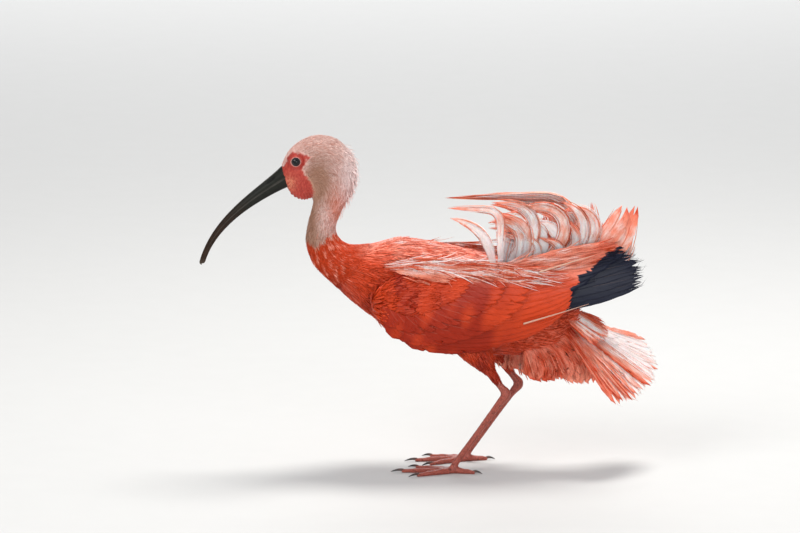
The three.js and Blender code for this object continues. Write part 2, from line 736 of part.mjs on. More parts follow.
const parted = cutBy(body, partingPlate(headEnd), partingPlate(neckEnd), partingPlate(trunkEnd), ventBlock(gap));
const parts = parted.decompose().sort((a, b) => a.boundingBox().max[0] - b.boundingBox().max[0]);
const [neckPart, headPart] = parts.slice(0, 2).sort((a, b) => a.boundingBox().max[2] - b.boundingBox().max[2]);
const [trunkPart, tailRoot] = parts.slice(2);

const headWhole = joined([headPart, pouch(), lids(-1), lids(1)]);
addNode("head", cutBy(headWhole, eyeBall(-1, gap), eyeBall(1, gap), gape), materials.downPink);
addNode("neck", neckPart, materials.downPink);
addNode("torso", cutBy(trunkPart, ridge(-1, gap), ridge(1, gap)), materials.scarlet);
addNode("tail", tailSolid(tailRoot), materials.coral);
addNode("undertail_coverts", ventSolid(), materials.coral);
addNode("bill_upper", cutBy(jaw(1, billSteps), bodyGrown, pouch(gap), nostril(-1), nostril(1)), materials.horn);
addNode("bill_lower", cutBy(jaw(-1, billSteps - 1), bodyGrown, pouch(gap)), materials.horn);

for (const [name, side] of Object.entries(sides)) {
  addNode(`eye_${name}`, eyeBall(side), materials.eye);
  addNode(`wing_${name}`, wingSolid(side), materials.scarlet);
  addNode(`secondaries_${name}`, secondariesSolid(side), materials.deepRed);
  addNode(`primaries_${name}`, primariesSolid(side), materials.inkTipped);
  addNode(`plumes_${name}`, plumesSolid(name, side), materials.coral);
  const thigh = cutBy(thighSolid(side), bodyGrown, wingPad(side, gap), shankSolid(side, gap));
  addNode(`thigh_${name}`, thigh, materials.scarlet);
  addNode(`shank_${name}`, cutBy(shankSolid(side), footBall(side, gap)), materials.legSkin);
  addNode(`foot_${name}`, footSolid(side), materials.legSkin);
  for (const toe of toes) {
    addNode(`claw_${name}_${toe.name}`, clawSolid(toe, side), materials.claw);
  }
}

// The origin is the middle of the whole, at the level of the soles.
const bounds = new THREE.Box3().setFromObject(group);
const middle = bounds.getCenter(v3(0, 0, 0));
group.position.set(-middle.x, -middle.y, 0);

export default group;
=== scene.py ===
# A scarlet ibis bathing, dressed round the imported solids: skin, coat of small feathers, flight feathers,
# plumes, tail, bill, eyes and claws. Sizes are in millimetres in the solids' own layout, unless a note says
# otherwise, and toFrame turns them to metres.
import json
import math
import bmesh
import bpy
import numpy as np
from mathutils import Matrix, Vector
from mathutils.kdtree import KDTree

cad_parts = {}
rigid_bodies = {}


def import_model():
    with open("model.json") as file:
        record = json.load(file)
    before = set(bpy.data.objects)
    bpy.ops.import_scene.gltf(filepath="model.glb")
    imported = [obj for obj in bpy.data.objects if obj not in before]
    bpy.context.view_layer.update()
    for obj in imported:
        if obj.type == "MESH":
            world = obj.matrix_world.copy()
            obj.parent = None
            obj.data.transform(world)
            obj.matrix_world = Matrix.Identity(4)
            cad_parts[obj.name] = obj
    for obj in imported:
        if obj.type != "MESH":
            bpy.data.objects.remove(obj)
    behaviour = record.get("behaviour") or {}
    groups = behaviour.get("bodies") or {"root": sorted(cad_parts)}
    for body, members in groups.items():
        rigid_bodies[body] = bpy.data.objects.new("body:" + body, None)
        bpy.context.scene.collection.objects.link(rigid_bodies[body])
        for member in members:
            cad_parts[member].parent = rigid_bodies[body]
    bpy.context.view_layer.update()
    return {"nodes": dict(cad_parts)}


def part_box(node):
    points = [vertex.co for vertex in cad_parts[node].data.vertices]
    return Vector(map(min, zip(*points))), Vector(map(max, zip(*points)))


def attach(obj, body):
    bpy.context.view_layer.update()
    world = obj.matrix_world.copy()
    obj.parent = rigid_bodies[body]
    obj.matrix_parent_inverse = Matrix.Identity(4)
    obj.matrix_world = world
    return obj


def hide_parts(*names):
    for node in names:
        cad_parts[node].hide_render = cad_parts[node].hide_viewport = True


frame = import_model()
print("frame loaded:", len(frame["nodes"]), "nodes")

sides = {"left": -1, "right": 1}
eyePlace = np.array([-146.0, 9.6, 297.0])  # middle of the right eyeball; the left one mirrors it
eyeRadius = 5.4
eyeCorners = [np.array(c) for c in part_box("eye_right")]
shift = sum(eyeCorners) / 2 - eyePlace / 1000


def toFrame(points):
    return np.asarray(points, float) / 1000 + shift


# small maths
def mix(a, b, t):
    return a + (b - a) * t


def smooth(x, low, high):
    t = np.clip((np.asarray(x, float) - low) / (high - low), 0, 1)
    return t * t * (3 - 2 * t)


def rows(values, s):
    # value at row number s (it may be a fraction) of a table, by Catmull-Rom
    values = np.asarray(values, float)
    last = len(values) - 1
    s = np.clip(np.atleast_1d(np.asarray(s, float)), 0, last)
    i = np.minimum(s.astype(int), last - 1)
    t = (s - i)[:, None]
    before = np.where(i[:, None] > 0, values[np.maximum(i - 1, 0)], 2 * values[0] - values[1])
    after = np.where(i[:, None] < last - 1, values[np.minimum(i + 2, last)], 2 * values[-1] - values[-2])
    a, b = values[i], values[i + 1]
    return 0.5 * (2 * a + (b - before) * t + (2 * before - 5 * a + 4 * b - after) * t**2
                  + (3 * a - before - 3 * b + after) * t**3)


def curve(*points):
    return lambda t: rows(points, np.asarray(t, float) * (len(points) - 1))


def unit(v):
    v = np.asarray(v, float)
    return v / np.maximum(np.linalg.norm(v, axis=-1, keepdims=True), 1e-9)


def ripple(points, scale, seed=0):
    # soft noise from a few crossed waves, roughly -1 to 1
    p = np.asarray(points, float) / scale
    total = np.zeros(len(p))
    for i, (kx, ky, kz) in enumerate([(1, 0.4, 0.3), (-0.5, 1.1, 0.7), (0.3, -0.8, 1.3), (1.7, 0.9, -1.1)]):
        total += np.sin(p[:, 0] * kx + p[:, 1] * ky + p[:, 2] * kz + 1.7 * i + seed)
    return total / 2.6


# meshes
def addPiece(name, points, faces, material, attributes=None, loopMap=None):
    # faces: arrays of triangles or quads; attributes: values at the points; loopMap: places on the bake map
    mesh = bpy.data.meshes.new(name)
    groups = [np.asarray(f, np.int32) for f in faces if len(f)]
    corners = np.concatenate([g.ravel() for g in groups])
    sizes = np.concatenate([np.full(len(g), g.shape[1], np.int32) for g in groups])
    mesh.vertices.add(len(points))
    mesh.vertices.foreach_set("co", toFrame(points).astype(np.float32).ravel())
    mesh.loops.add(len(corners))
    mesh.loops.foreach_set("vertex_index", corners)
    mesh.polygons.add(len(sizes))
    mesh.polygons.foreach_set("loop_start", np.concatenate([[0], np.cumsum(sizes)[:-1]]).astype(np.int32))
    mesh.update(calc_edges=True)
    mesh.polygons.foreach_set("use_smooth", np.ones(len(sizes), bool))
    setAttributes(mesh, attributes or {})
    if loopMap is not None:
        layer = mesh.uv_layers.new(name="OFBake")
        layer.data.foreach_set("uv", np.asarray(loopMap, np.float32)[corners].ravel())
    mesh.validate()
    if material:
        mesh.materials.append(material)
    return link(bpy.data.objects.new(name, mesh))


def link(made):
    bpy.context.scene.collection.objects.link(made)
    return made


def setAttributes(mesh, values):
    for label, value in values.items():
        value = np.asarray(value, np.float32)
        kind = "FLOAT" if value.ndim == 1 else "FLOAT_VECTOR"
        layer = mesh.attributes.get(label) or mesh.attributes.new(label, kind, "POINT")
        layer.data.foreach_set("value" if kind == "FLOAT" else "vector", value.ravel())


def ringFaces(ringCount, size):
    # quads between closed rings of points that follow one another
    k, m = np.arange(size), np.arange(ringCount - 1)[:, None] * size
    a, b = m + k, m + (k + 1) % size
    return np.stack([a, b, b + size, a + size], -1).reshape(-1, 4)


def outward(points, quads, *others):
    # the faces of a closed shape, all turned round if they point inwards
    a, b, c, d = [points[quads[:, k]] for k in range(4)]
    volume = np.sum(np.cross(a, b) * c + np.cross(a, c) * d)
    return [faces if volume > 0 else faces[:, ::-1] for faces in (quads, *others)]


def tube(points, size):
    # quads and end caps of a closed tube, from the points of its rings
    cap = np.array([[0, k, k + 1] for k in range(1, size - 1)])
    caps = np.concatenate([cap, cap[:, ::-1] + len(points) - size])
    return outward(points, ringFaces(len(points) // size, size), caps)


def finished(piece, replaced=()):
    if replaced:
        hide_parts(*replaced)
    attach(piece, "root")
    piece.data.calc_loop_triangles()
    print(" ", piece.name, len(piece.data.loop_triangles), "triangles")
    return piece


class Bunch:
    # gathers many closed shapes with their attributes, for one piece
    def __init__(self):
        self.points, self.quads, self.tris, self.maps, self.values, self.count = [], [], [], [], {}, 0

    def add(self, points, quads, tris=(), uv=None, **values):
        self.points.append(points)
        for faces, found in ((quads, self.quads), (tris, self.tris)):
            if len(faces):
                found.append(np.asarray(faces) + self.count)
        for label, value in values.items():
            self.values.setdefault(label, []).append(np.broadcast_to(np.asarray(value, float), len(points)))
        if uv is not None:
            self.maps.append(uv)
        self.count += len(points)

    def piece(self, name, material):
        faces = [np.concatenate(g) for g in (self.quads, self.tris) if g]
        attributes = {label: np.concatenate(v) for label, v in self.values.items()}
        loopMap = np.concatenate(self.maps) if self.maps else None
        return addPiece(name, np.concatenate(self.points), faces, material, attributes, loopMap)


# shader nodes
def newNode(tree, kind, settings, sockets):
    made = tree.nodes.new(kind)
    for key, value in (settings or {}).items():
        setattr(made, key, value)
    for key, value in (sockets or {}).items():
        feed(tree, made.inputs[key], value)
    return made


def feed(tree, socket, value):
    # a link from a Wire or a socket, or else a fixed value
    value = value.socket if isinstance(value, Wire) else value
    if isinstance(value, bpy.types.NodeSocket):
        tree.links.new(value, socket)
    else:
        socket.default_value = value


class Wire:
    # a socket of a shader's tree; + - and * on it add Math nodes
    def __init__(self, finish, socket):
        self.finish, self.socket = finish, socket

    def math(self, operation, *values):
        return self.finish.node("ShaderNodeMath", {"operation": operation}, dict(enumerate(values)))

    def __add__(self, other):
        return self.math("ADD", self, other)

    def __sub__(self, other):
        return self.math("SUBTRACT", self, other)

    def __rsub__(self, other):
        return self.math("SUBTRACT", other, self)

    def __mul__(self, other):
        return self.math("MULTIPLY", self, other)

    __radd__ = __add__
    __rmul__ = __mul__

    def abs(self):
        return self.math("ABSOLUTE", self)

    def sin(self):
        return self.math("SINE", self)

    def clip(self, low=0.0, high=1.0):
        return self.math("MAXIMUM", self.math("MINIMUM", self, high), low)

    def ease(self, low, high):
        return self.finish.node("ShaderNodeMapRange", {"interpolation_type": "SMOOTHSTEP"},
                                {"Value": self, "From Min": low, "From Max": high})


class Finish:
    # one material; fixed values go straight to the shader's own sockets
    def __init__(self, name, **fixed):
        self.material = bpy.data.materials.new(name)
        self.material.use_nodes = True
        self.tree = self.material.node_tree
        self.shader = self.tree.nodes["Principled BSDF"]
        self.set(**fixed)

    def node(self, kind, settings=None, sockets=None, output=0):
        return Wire(self, newNode(self.tree, kind, settings, sockets).outputs[output])

    def set(self, **values):
        for key, value in values.items():
            feed(self.tree, self.shader.inputs[key.replace("_", " ")], value)  # Base_Color for Base Color

    def attributes(self, *labels):
        node = lambda label: self.node("ShaderNodeAttribute", {"attribute_name": label}, output="Fac")
        return [node(label) for label in labels]

    def place(self, scale=(1, 1, 1), turn=(0, 0, 0), kind="POINT"):
        # place on the bird in metres; with TEXTURE counted in units of scale, along turned axes
        where = self.node("ShaderNodeTexCoord", output="Object")
        sockets = {"Vector": where, "Scale": scale, "Rotation": turn}
        return self.node("ShaderNodeMapping", {"vector_type": kind}, sockets)

    def noise(self, vector, scale, detail, roughness=0.55, distortion=0.0):
        sockets = {"Vector": vector, "Scale": scale, "Detail": detail, "Roughness": roughness}
        return self.node("ShaderNodeTexNoise", {}, {**sockets, "Distortion": distortion})

    def blend(self, factor, a, b):
        a, b = [c if isinstance(c, Wire) else (*c, 1) for c in (a, b)]
        return self.node("ShaderNodeMix", {"data_type": "RGBA"}, {0: factor, 6: a, 7: b}, output=2)

    def tint(self, colour, amount):
        # colour times a number
        spread = self.node("ShaderNodeCombineXYZ", {}, {0: amount, 1: amount, 2: amount})
        return self.node("ShaderNodeVectorMath", {"operation": "MULTIPLY"}, {0: colour, 1: spread})

    def bump(self, height, distance, strength):
        sockets = {"Height": height, "Distance": distance, "Strength": strength}
        self.set(Normal=self.node("ShaderNodeBump", {}, sockets))


# markings, shared by skin, coat and feathers
tones = {
    "scarlet": (0.6, 0.052, 0.01),
    # the next tone is the darker red that paints shade, low on the body and over the wing
    "deepRed": (0.32, 0.018, 0.004),
    "salmon": (0.86, 0.26, 0.17),
    "whitePink": (0.93, 0.74, 0.71),
    "tan": (0.37, 0.18, 0.1),
    "ink": (0.006, 0.008, 0.022),
    "leg": (0.32, 0.07, 0.05),
    "shaft": (0.62, 0.4, 0.3),
}
faceEdge = np.array([  # bare skin of the face, side view
    (-163, 297), (-158, 300.5), (-154.3, 303.5), (-149, 305.4), (-143, 305.6), (-138, 304), (-131.4, 302.4),
    (-135.8, 298.8), (-139, 292.5), (-139.3, 288.5), (-136.8, 284.5), (-133.4, 279.2), (-130.3, 274.3),
    (-128.9, 268.5), (-129.6, 262.5), (-134, 257), (-147, 257), (-163, 262),
])


def insideFace(points):
    # signed distance to the edge of the bare face, positive inside
    x, z = points[:, 0], points[:, 2]
    inside, nearest = np.zeros(len(x), bool), np.full(len(x), 1e9)
    for (ax, az), (bx, bz) in zip(faceEdge, np.roll(faceEdge, -1, 0)):
        ex, ez = bx - ax, bz - az
        t = np.clip(((x - ax) * ex + (z - az) * ez) / (ex * ex + ez * ez), 0, 1)
        nearest = np.minimum(nearest, np.hypot(x - ax - t * ex, z - az - t * ez))
        inside ^= ((az > z) != (bz > z)) & (x < ex * (z - az) / (ez + 1e-12) + ax)
    return np.where(inside, nearest, -nearest)


backBand = curve((-66, 204), (-20, 203), (20, 200), (52, 193), (90, 177))  # side view


def markings(points):
    # pale: 0 scarlet to 1 pinkish white; deep: darker red, mostly painted shade; tan: dusky buff of cheek
    # and throat
    x, y, z = points.T
    grain = lambda stretch, scale, seed: ripple(points * stretch, scale, seed)
    # head and neck are pale down to a ragged edge, with a rosy cheek
    edge = mix(217, 228, smooth(x, -137, -106)) + 4 * ripple(points, 1.4, 2) + 3 * ripple(points, 3.1)
    head = np.maximum(smooth(z, edge - 2, edge + 3), smooth(z, 236, 240)) * (x < -84)
    rosy = smooth(x + 0.25 * (z - 270), -124, -108) * smooth(z, 303, 280) * smooth(z, 228, 245)
    nape = smooth(x, -110, -94) * smooth(z, 240, 262)
    pale = head * (0.8 + 0.2 * nape - 0.24 * rosy * smooth(z, 290, 250))
    pale = pale + 0.5 * smooth(x, -90, -104) * (1 - head) * smooth(grain((1, 1, 0.18), 1.1, 5), 0.45, 0.8)
    # a streaked pale band above the wing, and the top of the back paler in streaks, mostly a painted
    # highlight from above
    line = backBand(np.linspace(0, 1, 40))
    gap = np.min(np.hypot(x[:, None] - line[:, 0], z[:, None] - line[:, 1]), 1)
    streaks = mix(0.25, 0.95, 0.5 + 0.5 * grain((0.35, 1, 1), 2.2, 1))
    pale = np.maximum(pale, (1 - head) * smooth(gap, 13, 2) * streaks * smooth(x, -84, -40))
    top = smooth(z - mix(218, 178, smooth(x, 0, 90)), -22, 4) * (1 - head) * smooth(x, -104, -70)
    pale = np.maximum(pale, top * mix(0.2, 0.78, 0.5 + 0.5 * grain((0.4, 1, 1.6), 1.9, 4)))
    # darker red lower down, a painted shade of the underside, with bars of painted shade at the front of
    # the wing
    deep = (0.5 + 0.5 * grain((1, 1, 0.45), 6.5, 3)) * smooth(z, 205, 165) * (1 - head)
    shadeBars = smooth(grain((1, 1, 0.25), 3.0, 9), 0.0, 0.6) * smooth(x, -36, -50) * smooth(x, -84, -74)
    deep = np.maximum(deep, shadeBars * smooth(z, 158, 168) * smooth(z, 198, 190))
    # dusky spots on cheek and throat
    tan = np.exp(-(((x + 126) / 13) ** 2 + ((z - 280) / 20) ** 2))
    tan = tan + 0.9 * np.exp(-(((x + 133) / 9.5) ** 2 + ((z - 240) / 26) ** 2))
    tan = tan + 0.24 * smooth(x, -96, -108) + 0.3 * smooth(z, 240, 224) + 0.16 * smooth(z, 292, 306)
    # the rear of the belly paler and less deep red, painted light from below
    flank = smooth(x, 48, 70) * smooth(z, 160, 145)
    pale, deep, tan = np.clip([pale + 0.12 * flank, deep * (1 - 0.85 * flank), tan], 0, 1)
    return {"pale": pale, "deep": deep, "tan": tan * head}


def coatColour(finish, streak=0.0, wash=0.0):
    # the colour that the markings, kept as attributes, call for; wash lightens it towards white in streaks
    pale, deep, tan, shade = finish.attributes("pale", "deep", "tan", "shade")
    pale = (pale + (shade - 0.5) * 0.22 + pale.ease(0.04, 0.3) * wash).clip()
    # deep turns it a darker red, mostly painted shade
    colour = finish.blend(deep.clip(), tones["scarlet"], tones["deepRed"])
    colour = finish.blend(pale.ease(0.0, 0.5), colour, tones["salmon"])
    colour = finish.blend(pale.ease(0.45, 1.0), colour, tones["whitePink"])
    colour = finish.blend((tan * 0.85).clip(), colour, tones["tan"])
    return finish.tint(colour, 0.84 + shade * 0.3 + streak)


# body, as sections from the back line to the belly line
bodyRows = [  # back x, z, belly x, z, half width, height of the widest line
    (-160, 293, -155, 270.5, 8.6, 0.5), (-152.5, 307, -148.5, 267, 12.8, 0.5),
    (-140, 317, -139, 260, 16, 0.55), (-125, 321, -131, 261, 18, 0.58),
    (-108, 317.5, -130, 258, 18.5, 0.6), (-94, 304, -130.5, 253, 18, 0.6),
    (-88.5, 286, -132, 247, 17, 0.56), (-92, 268, -134.5, 240, 15.5, 0.52),
    (-101, 251, -136.5, 232, 14.5, 0.5), (-107, 234, -138, 221, 14, 0.5), (-104, 223, -136, 209, 15, 0.5),
    (-94, 216.5, -129, 194, 20, 0.5), (-76, 217, -108, 173, 31, 0.5), (-50, 222, -77, 148, 39, 0.5),
    (-19, 219.5, -36, 122, 42, 0.5), (16, 212, 10, 112, 42, 0.5), (50, 202, 54, 109, 36, 0.5),
    (82, 186, 92, 114, 27, 0.53), (106, 170, 115, 133, 16, 0.55),
]
lastRow = len(bodyRows) - 1
neckEnd = 11.4  # row at which the neck meets the trunk
# how far under the solid's surface the skin lies, to leave room for the feathers
coatDepth = {"head": 0.9, "neck": 1.7, "trunk": 2.4, "wing": 1.6, "thigh": 1.4}


def bodyPoint(s, angle, grow=0.0):
    backX, backZ, bellyX, bellyZ, half, waist = rows(bodyRows, s).T
    up = np.stack([backX - bellyX, np.zeros_like(half), backZ - bellyZ], -1)
    height = np.linalg.norm(up, axis=1)
    up = up / height[:, None]
    middle = np.stack([mix(bellyX, backX, waist), np.zeros_like(half), mix(bellyZ, backZ, waist)], -1)
    rise, out = np.cos(angle), np.sin(angle)
    reach = np.where(rise > 0, height * (1 - waist), height * waist) + grow
    fullness = 1 - 0.22 * smooth(s, neckEnd, neckEnd + 2.5)
    point = middle + up * (rise * reach)[:, None]
    point[:, 1] = np.sign(out) * np.abs(out) ** fullness * (half + grow)
    return point


def bodyGrid(ringCount, size):
    # points of the skin under the coat, with their row and angle
    s = np.repeat(np.linspace(0, lastRow, ringCount), size)
    angle = np.tile(np.linspace(0, 2 * np.pi, size, endpoint=False), ringCount)
    deep = mix(coatDepth["head"], coatDepth["neck"], smooth(s, 5.5, 8))
    return s, angle, bodyPoint(s, angle, -mix(deep, coatDepth["trunk"], smooth(s, 10.5, 13)))


# wings: the sheet that their feathers lie in, and the pad of arm and hand
wing = {
    "reach": 51, "foremost": -20, "foreBend": 0.0028, "aftBend": 25, "aftLength": 200,
    "level": 166, "levelRise": 0.09, "overBend": 0.0072, "underBend": 0.0052,
    "pad": 4.8, "padCentre": (-18, 170),
}
padEdge = curve((-22, 201), (-52, 192), (-75, 173), (-72, 152), (-52, 137), (-20, 140),
                (12, 152), (34, 169), (42, 187), (22, 199), (-22, 201))
padProfile = [  # share of the edge's reach, share of the pad's height
    (0.12, 1.02), (0.5, 1), (0.76, 0.92), (0.92, 0.66), (1, -0.1), (0.96, -1.2), (0.82, -2.4), (0.4, -3),
]


def sheetReach(x, z):
    # how far from the middle plane the folded wing lies
    fore, aft = np.maximum(0, wing["foremost"] - x), np.maximum(0, x - wing["foremost"])
    belt = wing["reach"] - wing["foreBend"] * fore**2 - wing["aftBend"] * (aft / wing["aftLength"]) ** 1.5
    level = wing["level"] + wing["levelRise"] * aft
    return belt - np.where(z > level, wing["overBend"], wing["underBend"]) * (z - level) ** 2


def onWing(side):
    # lays a flat pattern (x, z, height) on the wing's sheet
    return lambda a, b, h: np.stack([a, side * (sheetReach(a, b) + h), b], -1)


def wingPad(side):
    edge = padEdge(np.linspace(0, 1, 60, endpoint=False)) - wing["padCentre"]
    rings = []
    for share, height in padProfile:
        at = edge * (share - 0.02) + wing["padCentre"]
        h = np.full(len(at), height * wing["pad"] - (coatDepth["wing"] if height > 0 else 0))
        rings.append(onWing(side)(at[:, 0], at[:, 1], h))
    return rings[::-1] if side > 0 else rings


# limbs, through stations of (point, half thickness in the side view, half thickness across)
def limb(stations, sideCount=14, steps=8):
    # rings of a tapered tube, with steps rings to each station
    last = len(stations) - 1
    s = np.linspace(0, last, last * steps + 1)
    at, girth = rows([p for p, _, _ in stations], s), rows([(d, w) for _, d, w in stations], s)
    ahead = unit(np.gradient(at, axis=0))
    across = unit(np.array([0, 1, 0]) - ahead * ahead[:, 1:2])
    front = np.cross(across, ahead)
    turn = np.linspace(0, 2 * np.pi, sideCount, endpoint=False)
    rings = (at[:, None] + front[:, None] * (np.cos(turn)[:, None] * girth[:, None, 0:1])
             + across[:, None] * (np.sin(turn)[:, None] * girth[:, None, 1:2]))
    return list(rings)


knee, ankle = np.array([-5.0, 24, 163]), np.array([53.0, 27, 76])
legs = {"tarsus": 85, "footTop": 7.0, "rightBack": 13, "toe": 50, "toeRadius": 3.4, "toeFlat": 0.6}
shankReach = math.sqrt(legs["tarsus"] ** 2 - (ankle[2] - legs["footTop"]) ** 2)
footJoint = np.array([ankle[0] - shankReach, 29, legs["footTop"]])
toes = {"inner": (26, 0.78), "middle": (-4, 1), "outer": (-32, 0.84), "hind": (168, 0.42)}  # yaw, length


def legPoint(p, side):
    return np.array([p[0] + (legs["rightBack"] if side > 0 else 0), side * p[1], p[2]])


def toePoint(toe, side, share, z):
    yaw, length = toes[toe]
    hub = legPoint(footJoint, side)
    way = -side * math.radians(yaw)
    reach = legs["toe"] * length * share
    return np.array([hub[0] - math.cos(way) * reach, hub[1] - math.sin(way) * reach, z])


def legLimbs(side):
    upper = lambda t: legPoint(mix(knee, ankle, t), side)
    lower = lambda t: legPoint(mix(ankle, footJoint, t), side)
    thin = coatDepth["thigh"]
    thigh = limb([(upper(0.12), 26 - thin, 10 - thin), (upper(0.42), 19 - thin, 9.5 - thin),
                  (upper(0.6), 12.5 - thin, 8.5 - thin), (upper(0.72), 6, 5.2), (upper(0.82), 4, 3.7)])
    shank = limb([(upper(0.7), 3.7, 3.4), (upper(0.9), 3.5, 3.1), (lower(0), 5, 4.6), (lower(0.14), 3.6, 3),
                  (lower(0.55), 3.1, 2.5), (lower(0.92), 3.3, 3), (lower(1), 3.4, 3.4)], 12, 6)
    made = [thigh, shank]
    for toe in toes:
        stations = []
        for share in (0, 0.2, 0.34, 0.5, 0.64, 0.8, 1):  # pads swell under each joint
            r = legs["toeRadius"] - 1.3 * share + (0.22 if share in (0.34, 0.64) else 0)
            stations.append((toePoint(toe, side, share, r - legs["toeFlat"]), r, r))
        made.append(limb(stations, 12, 3))
    return made


def ball(centre, radii, turn=0.0):
    # rings of an ellipsoid, turned by an angle in the side view
    t = np.linspace(0.04, np.pi - 0.04, 16)[:, None]
    p = np.linspace(0, 2 * np.pi, 20, endpoint=False)
    x = -np.cos(t) * radii[0] * np.ones(len(p))
    y, z = np.sin(t) * radii[1] * np.cos(p), np.sin(t) * radii[2] * np.sin(p)
    c, s = math.cos(turn), math.sin(turn)
    return list(np.stack([x * c + z * s, y, -x * s + z * c], -1) + np.asarray(centre, float))


# skin: one surface for head, neck, trunk, wing arms, legs and feet
skinSettings = {
    "rings": 150, "sides": 64, "voxel": 0.0014, "relax": 5,  # voxel in metres, relax in rounds
    "jowl": ((-141.5, 0, 270), (13.8, 8.4, 10.4), 30), "sole": (5.2, 4.2, 4.2), "web": (0.36, 1.0, 2.8),
    "lid": 0.9, "lidAt": 5.3, "wrinkle": 0.42, "crease": 0.8, "roughness": 0.16,
    "mouth": (-156, 281.4, 0.29), "orbit": (7.4, 1.7), "lidRim": (4.6, 0.42),  # rings: distance, width
}


def closedLoft(bunch, rings):
    # rings joined to a closed shape, with a fan over each end
    size = len(rings[0])
    points = np.concatenate(rings + [rings[0].mean(0)[None], rings[-1].mean(0)[None]])
    last = len(rings) * size
    k = np.arange(size)
    n = (k + 1) % size
    caps = np.concatenate([np.stack([n, k, np.full(size, last)], -1),
                           np.stack([k + last - size, n + last - size, np.full(size, last + 1)], -1)])
    bunch.add(points, ringFaces(len(rings), size), caps)


def rawSkin():
    shapes = Bunch()
    ringCount, size = skinSettings["rings"], skinSettings["sides"]
    closedLoft(shapes, list(bodyGrid(ringCount, size)[2].reshape(ringCount, size, 3)))
    centre, radii, turn = skinSettings["jowl"]
    closedLoft(shapes, ball(centre, radii, math.radians(turn)))
    share, low, high = skinSettings["web"]
    for side in sides.values():
        for rings in (wingPad(side), *legLimbs(side)):
            closedLoft(shapes, rings)
        hub = legPoint(footJoint, side)
        closedLoft(shapes, ball((*hub[:2], 3.8), skinSettings["sole"]))
        for a, b in (("inner", "middle"), ("middle", "outer")):  # small webs between the front toes
            corners = [hub, toePoint(a, side, share, 0), toePoint(b, side, share, 0)]
            closedLoft(shapes, [np.array([[*c[:2], z] for c in corners]) for z in (low, high)])
    return shapes.piece("skin", None)


def meshValues(mesh, kind):
    values = np.zeros(len(mesh.vertices) * 3, np.float32)
    mesh.vertices.foreach_get(kind, values)
    return values.reshape(-1, 3)


def meshPoints(mesh):
    return (meshValues(mesh, "co") - shift) * 1000


def applied(piece):
    # the piece with its modifiers made part of its mesh
    graph = bpy.context.evaluated_depsgraph_get()
    mesh = bpy.data.meshes.new_from_object(piece.evaluated_get(graph))
    piece.modifiers.clear()
    old = piece.data
    piece.data = mesh
    bpy.data.meshes.remove(old)
    mesh.name = piece.name
    return piece


def refineFace(mesh):
    # one cut through the edges of the bare face and a little round it
    bm = bmesh.new()
    bm.from_mesh(mesh)
    places = np.array([v.co[:] for v in bm.verts])
    near = insideFace((places - shift) * 1000) > -4
    edges = [e for e in bm.edges if near[e.verts[0].index] and near[e.verts[1].index]]
    bmesh.ops.subdivide_edges(bm, edges=edges, cuts=1, use_grid_fill=True, smooth=0.0)
    bm.to_mesh(mesh)
    bm.free()


def shapeFace(points, normals):
    # lids round the eye, wrinkles of the throat pouch, the corner of the mouth
    moved = points.copy()
    lidAt = skinSettings["lidAt"]
    d = np.hypot(points[:, 0] - eyePlace[0], (points[:, 2] - eyePlace[2]) * 1.08)
    dome = lambda radius, reach: eyePlace[1] + np.sqrt(np.maximum(0, radius**2 - np.minimum(d, reach) ** 2))
    inner = dome(eyeRadius - 1.2, 4.1)  # behind the front of the eyeball
    rim = dome(eyeRadius + 0.25, lidAt) + skinSettings["lid"] * np.exp(-(((d - lidAt) / 0.8) ** 2))
    ring = 0.22 * np.sin(d * 4.2) * smooth(d, 5.6, 6.4) * smooth(d, 10, 8)
    for side in sides.values():
        near = (points[:, 1] * side > 2) & (d < 11)
        out = np.where(d < 4.3, inner, mix(rim, points[:, 1] * side, smooth(d, 5.6, 8.6)))
        moved[near, 1] = side * (out + ring)[near]
    x, y, z = moved.T
    inside = insideFace(points)
    pouch = smooth(inside, -2, 2) * smooth(z, 286, 278)
    wave = np.sin((x + 0.35 * (z - 270)) * 2.3 + 1.2 * ripple(points, 4.0))
    moved += normals * (skinSettings["wrinkle"] * pouch * wave)[:, None]
    cornerX, cornerZ, slope = skinSettings["mouth"]
    mouth = cornerZ - slope * (x - cornerX)
    crease = np.exp(-(((z - mouth) / 0.7) ** 2)) * smooth(x, -137, -141) * (np.abs(y) > 3)
    moved -= normals * (skinSettings["crease"] * crease)[:, None]
    rough = smooth(inside, -1, 2) * (1 - pouch)
    moved += normals * (skinSettings["roughness"] * rough * ripple(points, 0.8, 3))[:, None]
    return moved


def unwrap(piece):
    bpy.ops.object.select_all(action="DESELECT")
    bpy.context.view_layer.objects.active = piece
    piece.select_set(True)
    bpy.ops.object.mode_set(mode="EDIT")
    bpy.ops.mesh.select_all(action="SELECT")
    bpy.ops.uv.smart_project(angle_limit=math.radians(66), island_margin=0.002)
    bpy.ops.object.mode_set(mode="OBJECT")
    piece.select_set(False)
    piece.data.uv_layers[0].name = "OFBake"


def lieField():
    # points spread over the body, wings and legs with the way the feathers lie there, and what part it is
    found = []

    def add(points, way, part, run):
        n = len(points)
        found.append((points, np.broadcast_to(way, (n, 3)), np.full(n, part), np.broadcast_to(run, n)))

    s, angle, points = bodyGrid(200, 60)
    ahead = bodyPoint(np.minimum(s + 0.1, lastRow), angle) - bodyPoint(np.maximum(s - 0.1, 0), angle)
    add(points, ahead, 0, s)
    for side in sides.values():
        pad = wingPad(side)
        add(np.concatenate(pad[:6] if side < 0 else pad[-6:]), (1.0, 0, 0.16), 1, 0)
        for i, rings in enumerate(legLimbs(side)):  # the thigh, then the shank and the toes
            rings = np.array(rings)
            ahead = np.repeat(unit(np.gradient(rings.mean(1), axis=0)), rings.shape[1], 0)
            number = np.repeat(np.arange(len(rings)), rings.shape[1])
            add(rings.reshape(-1, 3), ahead, 3 if i else 2, number)
    places, ways, parts, runs = [np.concatenate(column) for column in zip(*found)]
    return places, unit(ways), parts, runs


